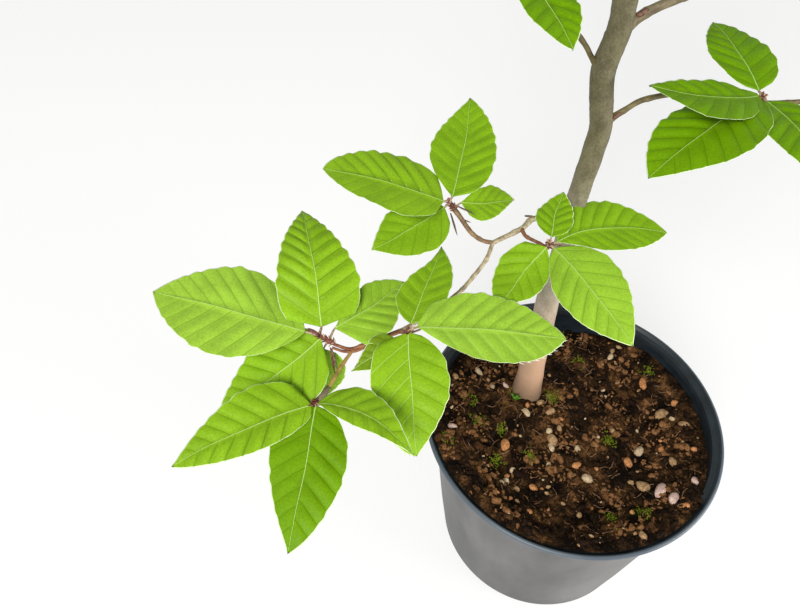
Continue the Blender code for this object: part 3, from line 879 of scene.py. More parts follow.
@dataclass
class Trunk:
    """The trunk: a fine sweep with bark relief, a flared foot and collars under the boughs."""

    sides: int = 56
    step: float = 1.1 * MM
    flare: float = 1.2 * MM
    flare_height: float = 9 * MM
    low: float = 6.9 * MM
    middle: float = 4.12 * MM
    top: float = 1.0 * MM
    soil_height: float = 106 * MM
    middle_from: float = 231 * MM
    middle_to: float = 300 * MM
    tree_top: float = 585 * MM
    bends: tuple = (
        (-18.5, 23.0, 102.0), (-18.8, 23.0, 118.0), (-19.4, 23.0, 140.0), (-20.0, 23.4, 176.0),
        (-19.4, 24.4, 210.0), (-18.85, 25.0, 241.0), (-17.8, 25.0, 262.0), (-17.5, 25.0, 274.0),
        (-18.9, 25.0, 281.0), (-20.8, 25.0, 289.0), (-21.95, 25.0, 298.0), (-20.2, 25.0, 312.0),
        (-21.0, 25.0, 324.0), (-22.0, 25.0, 360.0), (-20.2, 25.0, 400.0), (-22.6, 24.4, 450.0), (-20.8, 25.8, 500.0), (-22.4, 25.2, 545.0),
        (-21.6, 25.8, 585.0),
    )

    def points(self) -> list:
        """The trunk's middle line."""
        return [at_mm(*bend) for bend in self.bends]

    def axis(self, height: float) -> Vector:
        """The point of the middle line at a height."""
        points = self.points()
        for first, last in zip(points, points[1:]):
            if height <= last.z:
                return first.lerp(last, (height - first.z) / (last.z - first.z))
        return points[-1]

    def radius(self, height: float) -> float:
        """The trunk's radius at a height."""
        height = max(height, self.soil_height)
        flare = self.flare * math.exp(-(height - self.soil_height) / self.flare_height)
        if height > self.middle_to:
            share = (height - self.middle_to) / (self.tree_top - self.middle_to)
            return flare + mix(self.middle, self.top, share)
        share = min(1.0, (height - self.soil_height) / (self.middle_from - self.soil_height))
        return flare + mix(self.low, self.middle, share)

    def build(self, finish: bpy.types.Material, limbs: list) -> bpy.types.Object:
        """Models the trunk, with a collar and a fold of bark where each limb leaves it."""
        collars = []
        for limb in limbs:
            way = limb.points[1] - limb.points[0]
            collars.append((limb.points[0].z, math.atan2(way.y, way.x), limb.foot_radius, limb.collar))
        turns = 2 * np.pi * np.arange(self.sides) / self.sides
        line = smooth_line(self.points(), self.step)
        radii = []
        for point in line:
            base = self.radius(point[2])
            relief = []
            for turn in turns:
                x, y = point[0] + math.cos(turn) * base, point[1] + math.sin(turn) * base
                relief.append(0.28 * MM * noise.noise(Vector((x * 260, y * 260, point[2] * 120)))
                              + 0.12 * MM * noise.noise(Vector((x * 700, y * 700, point[2] * 1100))))
            relief = np.array(relief)
            for height, way, thick, swell in collars:
                aim = np.maximum(np.cos(turns - way), 0.0)
                drop = (point[2] - height) / thick
                relief += 1.5 * swell * thick * aim**3 * math.exp(-(((drop - 0.6) / 2.6) ** 2))
                fold = (drop + 3.6 - 2.4 * abs(np.sin(turns - way))) / 0.45
                relief -= 0.5 * thick * aim * np.exp(-(fold**2))
            radii.append(base + relief * min(1.0, base / (3 * MM)))
        heap = Heap()
        heap.add(*tube(line, np.array(radii), self.sides))
        return settled(heap.made("trunk_bark", [finish]), "bark", "trunk")


@dataclass
class Skeleton:
    """Every limb and spray, in the places that the solids give them."""

    trunk: Trunk
    limbs: list = field(default_factory=list)
    sprays: dict = field(default_factory=dict)

    twig: float = 0.8 * MM
    hub_half: float = 1.5 * MM
    gap: float = 0.3 * MM
    crown_boughs: int = 10
    crown_foot: float = 336 * MM
    crown_step: float = 20 * MM
    crown_heading: float = 85.0
    crown_lengths: tuple = (92 * MM, 42 * MM)
    crown_rises: tuple = (28.0, 55.0)
    crown_scales: tuple = (1.0, 0.74)
    crown_sag: float = 0.07
    inner_place: float = 0.45
    inner_up_to: int = 8
    outer_headings: tuple = (0.0, 54.0, -54.0, 108.0, -108.0)
    inner_headings: tuple = (60.0, -60.0, 118.0, -118.0)
    leader_headings: tuple = (10.0, 82.0, 154.0, 226.0, 298.0)

    def under(self, centre: Vector) -> Vector:
        """Where a limb ends so that it carries the spray over it."""
        return centre - Z_AXIS * (self.twig + self.gap * 1.5 + self.hub_half)

    def over(self, point: Vector, up: Vector, radius: float) -> Vector:
        """A spray's centre over a limb."""
        return point + up * (radius + self.gap * 1.5 + self.hub_half)

    def left(self) -> None:
        """The long low bough on the left and its five sprays."""
        near, back = at_mm(-33.1, -1.7, 241), at_mm(-69.5, 19.2, 241)
        middle, outer = at_mm(-85.3, -35.2, 228), at_mm(-115.6, -37, 226)
        low, fork, elbow = at_mm(-116.5, -59.4, 217), at_mm(-52, 11, 228), at_mm(-88, -29, 220)
        self.limbs += [
            Limb("bough_left", (at_mm(-19.5, 23, 231), at_mm(-34.5, 22.6, 231), at_mm(-40.5, 17.3, 230), fork),
                 1.35 * MM, 0.95 * MM, Bark.TAN, False, 0.5, (0.5, 0.72)),
            Limb("bough_left_back", (fork, at_mm(-56.9, 9.9, 230.3), at_mm(-61.4, 11.8, 232.8),
                                     at_mm(-65.3, 15.5, 236.3), at_mm(-68.3, 18.4, 238.8)),
                 0.82 * MM, 0.9 * MM, Bark.BROWN, False, 0.0, (0.12, 0.3, 0.45, 0.56, 0.66, 0.75, 0.83, 0.9, 0.96)),
            Limb("bough_left_front", (fork, at_mm(-54.8, 4.4, 225), at_mm(-59.8, -2.1, 222),
                                      at_mm(-66, -9, 219.5), at_mm(-78.5, -20.5, 218.6), elbow),
                 0.85 * MM, 0.85 * MM, Bark.TAN, False, 0.0, (0.14, 0.30, 0.42, 0.6, 0.8)),
            Limb("bough_left_outer", (elbow, at_mm(-98.3, -33.9, 219.6), at_mm(-102.5, -36.9, 220.3),
                                      at_mm(-106.4, -38.8, 221.2), at_mm(-111.6, -38.6, 223.4)),
                 0.95 * MM, 0.6 * MM, Bark.RED, True, 0.0),
            Limb("bough_left_outer", (at_mm(-98.3, -34.8, 219.2), at_mm(-104, -38.9, 220.2),
                                      at_mm(-108, -40, 221.2), at_mm(-112.3, -39.6, 222.8)),
                 0.6 * MM, 0.5 * MM, Bark.RED, True, 0.0),
            Limb("twig_left_near", (at_mm(-40.2, 17.3, 230), at_mm(-39.4, 11.5, 231.6),
                                    at_mm(-36.6, 5, 235), self.under(near)), 0.8 * MM, 0.6 * MM, Bark.RED),
            Limb("twig_left_middle", (elbow, at_mm(-86.6, -32, 223), self.under(middle)),
                 0.9 * MM, self.twig, Bark.RED, True),
            Limb("twig_left_low", (at_mm(-105, -38.8, 220.6), at_mm(-109.2, -45.6, 218.6),
                                   at_mm(-112.4, -51.8, 216.6), at_mm(-114.6, -55.4, 216)),
                 0.66 * MM, 0.66 * MM, Bark.OLIVE, True, 0.0, (0.3, 0.62)),
            Limb("twig_left_low", (at_mm(-112.7, -52.2, 216.4), at_mm(-114.6, -55.3, 216), at_mm(-117, -59.1, 216)),
                 0.9 * MM, 1.05 * MM, Bark.GREY, True, 0.0, (0.3, 0.6, 0.85)),
        ]
        olive, broad, full, round_ = Edge.OVATE, Edge.BROAD, Edge.FULL, Edge.ROUND
        late, spindle, tapered, drawn = Edge.LATE, Edge.SPINDLE, Edge.TAPERED, Edge.DRAWN
        shoulder, blunt = Edge.SHOULDER, Edge.BLUNT
        pale, soft, fresh, grass = Tone.PALE, Tone.SOFT, Tone.FRESH, Tone.GRASS
        self.sprays["left"] = [
            Spray("foliage_left_near", near, (
                Leaf(73, 7, 27, 14.5, -0.02, 0.03, -0.03, olive, olive, 3, -3, grass, 0, 1.1),
                Leaf(19, -10, 54.5, 25.6, 0.06, 0.12, -0.03, full, late, 3, 9, grass, 0, 0.75),
                Leaf(-56, -13, 48.5, 29, 0.02, -0.01, 0.06, olive, spindle, 2.5, 1, soft, 0, 0.25, ease=3.6),
                Leaf(-130, -20, 31.5, 20.5, -0.02, -0.05, -0.07, drawn, round_, 2, 0, fresh, 0, 0.7))),
            Spray("foliage_left_back", back, (
                Leaf(81, 12, 57, 27.5, -0.01, -0.02, -0.03, drawn, broad, 3, -1, grass, 0, 0.85, ease=1.6),
                Leaf(176, 14, 51.5, 34.5, -0.02, 0.02, 0.05, broad, round_, 3, 2, fresh, 0, 0.25, ease=6),
                Leaf(-150, -15, 36.5, 29, 0.05, 0.03, 0, olive, olive, 3, -1, fresh, 0, 0.45),
                Leaf(8, -1, 25.5, 18.5, -0.05, -0.09, 0.05, late, tapered, 4, 5, fresh, 0, 0.6)),
                  spur=(at_mm(-67.8, 18.2, 238.2), at_mm(-70.4, 20.6, 240.6))),
            Spray("foliage_left_middle", middle, (
                Leaf(74, -1, 46, 19.2, -0.04, -0.01, 0.01, shoulder, olive, 3.5, -7, fresh, 0, 0.8),
                Leaf(-2.5, -1.7, 56, 30.4, 0.03, 0, 0.03, broad, late, 3, 1, pale, 0.17, 0.82, 2.7, True),
                Leaf(-84.4, -22.7, 44, 27.5, -0.02, -0.01, 0.05, olive, round_, 0.5, 1, fresh, -0.25, 0.7, 0, True, 0.7),
                Leaf(-146.3, -16.5, 24.7, 12, -0.02, 0.02, 0.03, olive, shoulder, 5, -8, Tone.OLIVE, 0, 0.35))),
            Spray("foliage_left_outer", outer, (
                Leaf(169, 7, 63.5, 40.5, 0.01, 0.01, 0.03, spindle, spindle, 6.4, 1, pale, -0.3, 0.76, ease=0.85),
                Leaf(103, 8, 59, 30.5, -0.03, 0, 0.13, blunt, blunt, 3.8, 5, fresh, 0.2, 1.85),
                Leaf(45, -2, 40.5, 23, -0.22, -0.05, 0.05, late, blunt, 5.5, 5, soft, 0, 0.7, ease=1.3),
                Leaf(-155.6, -29.8, 48.2, 31.5, 0.12, 0.04, 0.0, round_, olive, 1, -16, fresh, 0, 1.4),
                Leaf(-86.3, -60, 22, 16, 0, 0, 0.03, olive, olive, 3, 0, soft, 0, 0.35, -3)),
                  spur=(at_mm(-111.4, -38.3, 223.4), at_mm(-117, -36.6, 225.6))),
            Spray("foliage_left_low", low, (
                Leaf(-153, -5, 51.5, 23, -0.18, -0.02, 0.04, broad, tapered, 1.6, -9, fresh, 0, 1.6, ease=0.53),
                Leaf(-96, -14, 50, 26.5, 0.02, 0.01, 0.03, broad, tapered, 0.8, -1, Tone.DEEP, 0, 1.12, ease=0.28),
                Leaf(-35, 11.2, 42.3, 14.5, 0.23, 0.06, 0.11, tapered, drawn, 0.5, 1, fresh, 0, 0.7, ease=1.6)),
                  spur=(at_mm(-116.0, -57.8, 216.2), at_mm(-117.6, -60.2, 216.4))),
        ]

    def right(self) -> None:
        """The bough on the right and its two sprays."""
        inner, tip = at_mm(36.3, 26.8, 287.4), at_mm(78, 13, 305)
        self.limbs.append(
            Limb("bough_right", (at_mm(-16, 25, 276.5), at_mm(-11, 25, 281.2), at_mm(-3.3, 26.5, 285.3),
                                 at_mm(14, 28, 287.2), at_mm(36.3, 26.8, 284.6), at_mm(58, 21, 291), self.under(tip)),
                 1.05 * MM, self.twig, Bark.DUN, False, 1.1))
        self.sprays["right"] = [
            Spray("foliage_right_inner", inner, (
                Leaf(-168, 11, 46, 22, 0.23, 0.11, 0.02, Edge.FULL, Edge.SPINDLE, 1.6, -3),
                Leaf(-141, -8, 59, 30.5, 0.09, 0.01, 0.07, Edge.SPINDLE, Edge.LATE, 2.2, 5, None, 0, 1.2),
                Leaf(98, 4, 46, 24), Leaf(-76, -4, 48, 25)), Tone.DEEP),
            Spray("foliage_right_outer", tip, (
                Leaf(62, -6, 50, 26), Leaf(2, -12, 52, 28),
                Leaf(-60, -10, 52, 27), Leaf(-112, -4, 44, 23)), Tone.DEEP),
        ]

    def upper(self) -> None:
        """The two boughs below the crown and their four sprays."""
        left_inner, left_tip = at_mm(-56.4, 18.1, 335), at_mm(-92, 38, 366)
        right_inner, right_tip = at_mm(32, 33.5, 343), at_mm(74, 52, 366)
        self.limbs += [
            Limb("bough_upper_left", (at_mm(-22.5, 25, 296), at_mm(-26.6, 25, 300.8), at_mm(-32.1, 24.8, 308),
                                      at_mm(-45, 22, 321),
                                      at_mm(-56.4, 18.1, 331.8), at_mm(-76, 26, 348),
                                      self.under(left_tip)), 0.9 * MM, self.twig, Bark.DUN, False, 0.7),
            Limb("bough_upper_right", (at_mm(-18, 25, 312.5), at_mm(-13.8, 25, 316.5), at_mm(-7, 24.5, 321),
                                       at_mm(14, 27, 330),
                                       at_mm(32, 33.5, 339.3), at_mm(54, 43, 351),
                                       self.under(right_tip)), 1.65 * MM, self.twig, Bark.GREY, False, 0.4),
        ]
        self.sprays["upper"] = [
            Spray("foliage_upper_left_inner", left_inner, (
                Leaf(-74, -8, 41, 17.5, 0.02, 0.02, 0, Edge.OVATE, Edge.FULL, 3, -4, ease=0.8), Leaf(-142, 6, 44, 23),
                Leaf(98, 2, 44, 23)), Tone.DEEP),
            Spray("foliage_upper_left_outer", left_tip, (
                Leaf(90, -4, 50, 26), Leaf(150, -8, 52, 28), Leaf(-155, -4, 50, 26), Leaf(-98, 0, 44, 23))),
            Spray("foliage_upper_right_inner", right_inner, (
                Leaf(88, 6, 45, 24), Leaf(142, 4, 42, 22), Leaf(-45, 4, 46, 24), Leaf(-100, 8, 42, 22))),
            Spray("foliage_upper_right_outer", right_tip, (
                Leaf(24, -8, 52, 28), Leaf(80, -6, 50, 26), Leaf(-32, -8, 50, 26), Leaf(-88, -4, 44, 23),
                Leaf(134, -2, 42, 22))),
        ]

    def seeded(self, rule: random.Random, headings: tuple, length: float) -> tuple:
        """Leaves at these headings, each a little different from the next."""
        leaves = []
        for heading in headings:
            long = length * rule.uniform(0.88, 1.1)
            turn, pitch = rule.uniform(-6, 6), rule.uniform(-12, 4)
            leaves.append(Leaf(heading + turn, pitch, long, 0.54 * long, rule.uniform(-0.08, 0.08),
                               rule.uniform(-0.04, 0.04), rule.uniform(0.01, 0.09),
                               rule.choice((Edge.OVATE, Edge.BROAD, Edge.SPINDLE)),
                               rule.choice((Edge.OVATE, Edge.BROAD, Edge.FULL)), 3, rule.uniform(-6, 6)))
        return tuple(leaves)

    def crown(self) -> None:
        """The boughs of the crown, wound up the trunk by the golden angle, and the leader."""
        rule = random.Random(SEED)
        tones = (Tone.FRESH, Tone.PALE, Tone.GRASS)
        made = []
        for i in range(self.crown_boughs):
            share = i / (self.crown_boughs - 1)
            scale = mix(*self.crown_scales, share)
            heading = (self.crown_heading + GOLDEN_ANGLE * i) % 360
            rise = mix(*self.crown_rises, share)
            length = mix(*self.crown_lengths, share) * rule.uniform(0.95, 1.05)
            foot = self.trunk.axis(self.crown_foot + self.crown_step * i)
            along, up = direction(heading, rise), direction(heading, rise + 90)
            radius = 1.5 * MM * scale
            points = [
                foot + along * (length * place) - up * (self.crown_sag * length * math.sin(math.pi * place))
                for place in (0.0, 0.22, self.inner_place, 0.72, 1.0)
            ]
            name = f"{i + 1:02d}"
            self.limbs.append(Limb(f"bough_crown_{name}", tuple(points), radius, self.twig, Bark.GREY, False, 0.5))
            outer = self.seeded(rule, self.outer_headings, 50 * scale)
            made.append(Spray(f"foliage_crown_{name}_outer", self.over(points[-1], up, self.twig), outer,
                              tones[i % 3], heading, rise * 0.8))
            if i < self.inner_up_to:
                inner = self.seeded(rule, self.inner_headings, 40 * scale)
                thick = mix(radius, self.twig, self.inner_place)
                made.append(Spray(f"foliage_crown_{name}_inner", self.over(points[2], up, thick), inner,
                                  tones[(i + 1) % 3], heading, rise))
        top = self.over(self.trunk.points()[-1], Z_AXIS, 0.0)
        leader = self.seeded(rule, self.leader_headings, 50 * self.crown_scales[-1])
        made.append(Spray("foliage_leader", top, leader, Tone.PALE))
        half = len(made) // 2
        self.sprays["crown_low"], self.sprays["crown_high"] = made[:half], made[half:]

    def grow(self) -> None:
        """Lays out the whole skeleton."""
        self.left()
        self.right()
        self.upper()
        self.crown()

    def build_wood(self) -> None:
        """Models the limbs and joins the old and the young ones."""
        wood, barks = Wood(), list(Bark)
        finishes = [bark.material() for bark in barks]
        for young, name in ((False, "boughs"), (True, "young_twigs")):
            rule, heap = random.Random(f"{SEED} {name}"), Heap()
            chosen = [limb for limb in self.limbs if limb.young == young]
            for limb in chosen:
                wood.grow(heap, limb, barks.index(limb.bark), rule)
            settled(heap.made(name, finishes), "twig", *sorted({limb.node for limb in chosen}))


@dataclass(frozen=True)
class LongBud:
    """A pointed bud from one place to another, in millimetres, and the number of its finish."""

    start: tuple
    end: tuple
    radius: float
    finish: int = 2


@dataclass
class Hubs:
    """What holds a spray together: a scaly spur, the leaf stalks and the long buds."""

    skeleton: Skeleton
    scales: int = 34
    scale_lengths: tuple = (1.2 * MM, 2.1 * MM)
    knot: float = 1.0 * MM
    stalk_radius: float = 0.55 * MM
    buds: tuple = (
        LongBud((-69.4, 17.8, 237.0), (-66.2, 13.2, 229.0), 0.40), LongBud((-65.3, 15.6, 236.0), (-61.1, 15.9, 234.0), 0.34),
        LongBud((-68.0, 17.5, 241.5), (-60.8, 9.6, 244.0), 0.34), LongBud((-38.6, 23.6, 231.4), (-34.8, 21.6, 232.9), 0.5),
        LongBud((-116.4, -36.8, 225.4), (-121.4, -34.7, 227.4), 0.9, 0),
        LongBud((-112.4, -40.2, 222.8), (-110.0, -46.4, 217.4), 0.42),
        LongBud((-112.9, -39.6, 222.8), (-110.9, -47.4, 216.8), 0.40, 0),
        LongBud((-14.6, 23.7, 278.7), (-11.7, 23.9, 281.3), 0.85, 4),
        LongBud((-16.2, 24.2, 316.2), (-12.0, 24.4, 318.8), 1.25, 4),
        LongBud((-84.0, -34.0, 225.5), (-79.5, -33.2, 227.5), 0.4), LongBud((-33.0, -1.0, 240.0), (-27.4, -3.4, 240.6), 0.42),
    )

    def bract(self) -> tuple:
        """A pointed scale of unit length that curves up along X."""
        shares = np.linspace(0.05, 0.98, 5)
        turns = 2 * np.pi * np.arange(6) / 6
        wide = 0.32 * np.sin(np.pi * shares**0.75) ** 0.8
        rings = [np.zeros((6, 3))]
        for share, half in zip(shares, wide):
            ring = np.stack([np.full(6, share), half * np.cos(turns), 0.45 * half * np.sin(turns)], 1)
            ring[:, 2] -= 0.16 * share**2 - 0.9 * ring[:, 1] ** 2
            rings.append(ring)
        rings.append(np.repeat([[1.06, 0.0, -0.20]], 6, 0))
        return np.concatenate(rings), quads(len(rings), 6, True)

    def build(self) -> bpy.types.Object:
        """Models every hub and joins them."""
        rule, heap = random.Random(f"{SEED} hubs"), Heap()
        for group in self.skeleton.sprays.values():
            for spray in group:
                foot = spray.frame() @ Vector((0, 0, -self.skeleton.hub_half - self.skeleton.gap))
                start, end = spray.spur or (foot - Z_AXIS * 0.4 * MM, foot + Z_AXIS * 1.6 * MM)
                self.clothe(heap, start, end, rule)
                for leaf in spray.leaves:
                    self.stalk(heap, leaf, spray.frame(), start, end)
        for bud in self.buds:
            first, last = Vector(bud.start) * MM, Vector(bud.end) * MM
            line = smooth_line([first, first.lerp(last, 0.5), last], 0.8 * MM)
            share = np.linspace(0.0, 1.0, len(line))
            radii = bud.radius * MM * (0.55 + 1.3 * share) * (1 - share**2) ** 0.9 + 0.03 * MM
            heap.add(*tube(line, radii, 8), bud.finish)
        return settled(heap.made("stalks_and_scales", [sprig.material() for sprig in SPRIGS]), "twig")

    def clothe(self, heap: Heap, start: Vector, end: Vector, rule: random.Random) -> None:
        """Adds a spur from start to end, with short scales round it that lean to its end."""
        axis = (end - start).normalized()
        side = axis.cross(Vector((0.3, -0.9, 0.2))).normalized()
        line = np.array([start.lerp(end, share) for share in (0.0, 0.3, 0.7, 1.0)])
        heap.add(*tube(line, np.array([0.8, 1.0, 1.0, 0.75]) * self.knot, 8), 0)
        points, faces = self.bract()
        for k in range(self.scales):
            level, turn = k / (self.scales - 1), math.radians(GOLDEN_ANGLE * k + rule.uniform(-15, 15))
            out = side * math.cos(turn) + axis.cross(side) * math.sin(turn)
            lean = math.radians(mix(40, 72, level) + rule.uniform(-14, 14))
            way = out * math.cos(lean) + axis * math.sin(lean)
            aside = way.cross(out).normalized()
            frame = np.array([way, aside, way.cross(aside)]).T * rule.uniform(*self.scale_lengths)
            foot = start.lerp(end, level) + out * self.knot * 0.55
            heap.add(points @ frame.T + np.array(foot), faces, 3 if rule.random() < 0.26 else 0)

    def stalk(self, heap: Heap, leaf: Leaf, frame: Matrix, start: Vector, end: Vector) -> None:
        """Adds a leaf's stalk, from the nearest place on the spur to just under its midrib."""
        place = frame @ leaf.turn()
        blade = place @ Vector((leaf.stalk * MM, 0, -0.25 * MM))
        inside = place @ Vector(((leaf.stalk + 2.5) * MM, 0, leaf.arch * 10 * MM * 0.9 - 0.45 * MM))
        share = (blade - start).dot(end - start) / (end - start).length_squared
        foot = start.lerp(end, min(max(share, 0.0), 1.0))
        line = smooth_line([foot, foot.lerp(blade, 0.5) + Z_AXIS * 0.2 * MM, blade, inside], 0.9 * MM)
        share = np.linspace(0.0, 1.0, len(line))
        thick = self.stalk_radius * mix(0.65, 1.25, leaf.length / 60)
        heap.add(*tube(line, mix(thick, thick * 0.4, share), 6), 1)


@dataclass
class Pot:
    """The round nursery pot: a turned wall, a bevelled lip and drain holes."""

    height: float = 121 * MM
    rim_outer: float = 74.4 * MM
    lip_height: float = 2.0 * MM
    wall_top: float = 69.65 * MM
    wall: float = 1.1 * MM
    floor: float = 2.2 * MM
    base: float = 56.8 * MM
    base_round: float = 5 * MM
    holes: int = 6
    hole_radius: float = 5 * MM
    hole_ring: float = 38 * MM
    steps: int = 160
    lip_parts: int = 6
    ridges: int = 6
    ridge: float = 0.25 * MM

    def outside(self, height: float) -> float:
        """The wall's outer radius at a height."""
        return mix(self.base, self.wall_top, height / (self.height - self.lip_height))

    def profile(self) -> list:
        """The wall's closed profile as (radius, height) corners, from the outer foot round to the floor."""
        lip_foot, foot, out = self.height - self.lip_height, self.base - self.base_round, self.rim_outer
        made = [(0.0, 0.0)]
        for step in range(9):
            turn = math.radians(-90 + 90 * step / 8)
            made.append((foot + self.base_round * math.cos(turn), self.base_round * (1 + math.sin(turn))))
        made += [(self.outside(lip_foot * share), lip_foot * share) for share in (0.3, 0.6, 0.9)]
        made += [(self.wall_top - 0.3 * MM, lip_foot - 0.4 * MM), (self.wall_top + 0.4 * MM, lip_foot)]
        bead = ((-0.5, 0.0), (-0.1, 0.12), (0.0, 0.5), (0.0, 1.1), (-0.3, 1.6), (-0.8, 1.9), (-1.4, 2.0),
                (-1.9, 1.75), (-2.3, 1.2), (-2.7, 0.6), (-3.2, 0.25), (-5.2, 0.1))
        made += [(out + across * MM, lip_foot + up * MM) for across, up in bead]
        for ridge in range(self.ridges):
            level = lip_foot - (1.5 + 2.0 * ridge) * MM
            made += [(self.outside(level) - self.wall + self.ridge, level), (self.outside(level) - self.wall, level - MM)]
        made += [(self.outside(lip_foot * 0.5) - self.wall, lip_foot * 0.5)]
        made += [(self.base - self.wall + 0.7 * MM, self.base_round + 1 * MM), (foot, self.floor), (0.0, self.floor)]
        return made

    def build(self) -> bpy.types.Object:
        """Turns the profile, drills the holes and dresses the pot."""
        profile = self.profile()
        mesh = bpy.data.meshes.new("pot_shell")
        mesh.from_pydata([(x, 0.0, z) for x, z in profile], [(i, i + 1) for i in range(len(profile) - 1)], [])
        made = bpy.data.objects.new("pot_shell", mesh)
        bpy.context.scene.collection.objects.link(made)
        select(made)
        bpy.ops.object.mode_set(mode="EDIT")
        bpy.ops.mesh.select_all(action="SELECT")
        bpy.ops.mesh.spin(steps=self.steps, angle=2 * math.pi, center=(0, 0, 0), axis=(0, 0, 1))
        bpy.ops.mesh.select_all(action="SELECT")
        bpy.ops.mesh.remove_doubles(threshold=1e-5)
        bpy.ops.mesh.normals_make_consistent(inside=False)
        bpy.ops.object.mode_set(mode="OBJECT")
        self.drill(made)
        self.dress(made)
        select(made)
        bpy.ops.object.shade_smooth_by_angle(angle=math.radians(40))
        return settled(made, "pot", "pot")

    def dress(self, made: bpy.types.Object) -> None:
        """Gives the wall and the lip their plastics, and the inside its painted shade."""
        finish = PotFinish()
        for material in (finish.wall(), finish.lip(), finish.inside()):
            made.data.materials.append(material)
        corners = np.array(self.profile())
        middles = (corners[1:] + corners[:-1]) / 2
        crest = int(np.argmax(corners[:, 1]))
        for face in made.data.polygons:
            spot = (math.hypot(face.center.x, face.center.y), face.center.z)
            part = int(np.argmin(np.linalg.norm(middles - spot, axis=1)))
            # Faces from the bead's crest inwards take the inside's painted shade.
            face.material_index = 2 if part >= crest else int(part >= crest - self.lip_parts)

    def drill(self, made: bpy.types.Object) -> None:
        """Cuts the drain holes through the floor."""
        cutters = []
        for hole in range(self.holes):
            turn = 2 * math.pi * (hole + 0.5) / self.holes
            deselect()
            bpy.ops.mesh.primitive_cylinder_add(
                vertices=32, radius=self.hole_radius, depth=self.floor * 4,
                location=(self.hole_ring * math.cos(turn), self.hole_ring * math.sin(turn), 0.0))
            cutters.append(applied(bpy.context.object))
        deselect()
        for cutter in cutters:
            cutter.select_set(True)
        bpy.context.view_layer.objects.active = cutters[0]
        bpy.ops.object.join()
        cut = made.modifiers.new("drains", "BOOLEAN")
        cut.object = cutters[0]
        applied(made)
        bpy.data.objects.remove(cutters[0])


@dataclass(frozen=True)
class Stone:
    """One of the larger stones on the soil: its place and half length in millimetres, and what it is."""

    x: float
    y: float
    size: float
    kind: Crumb


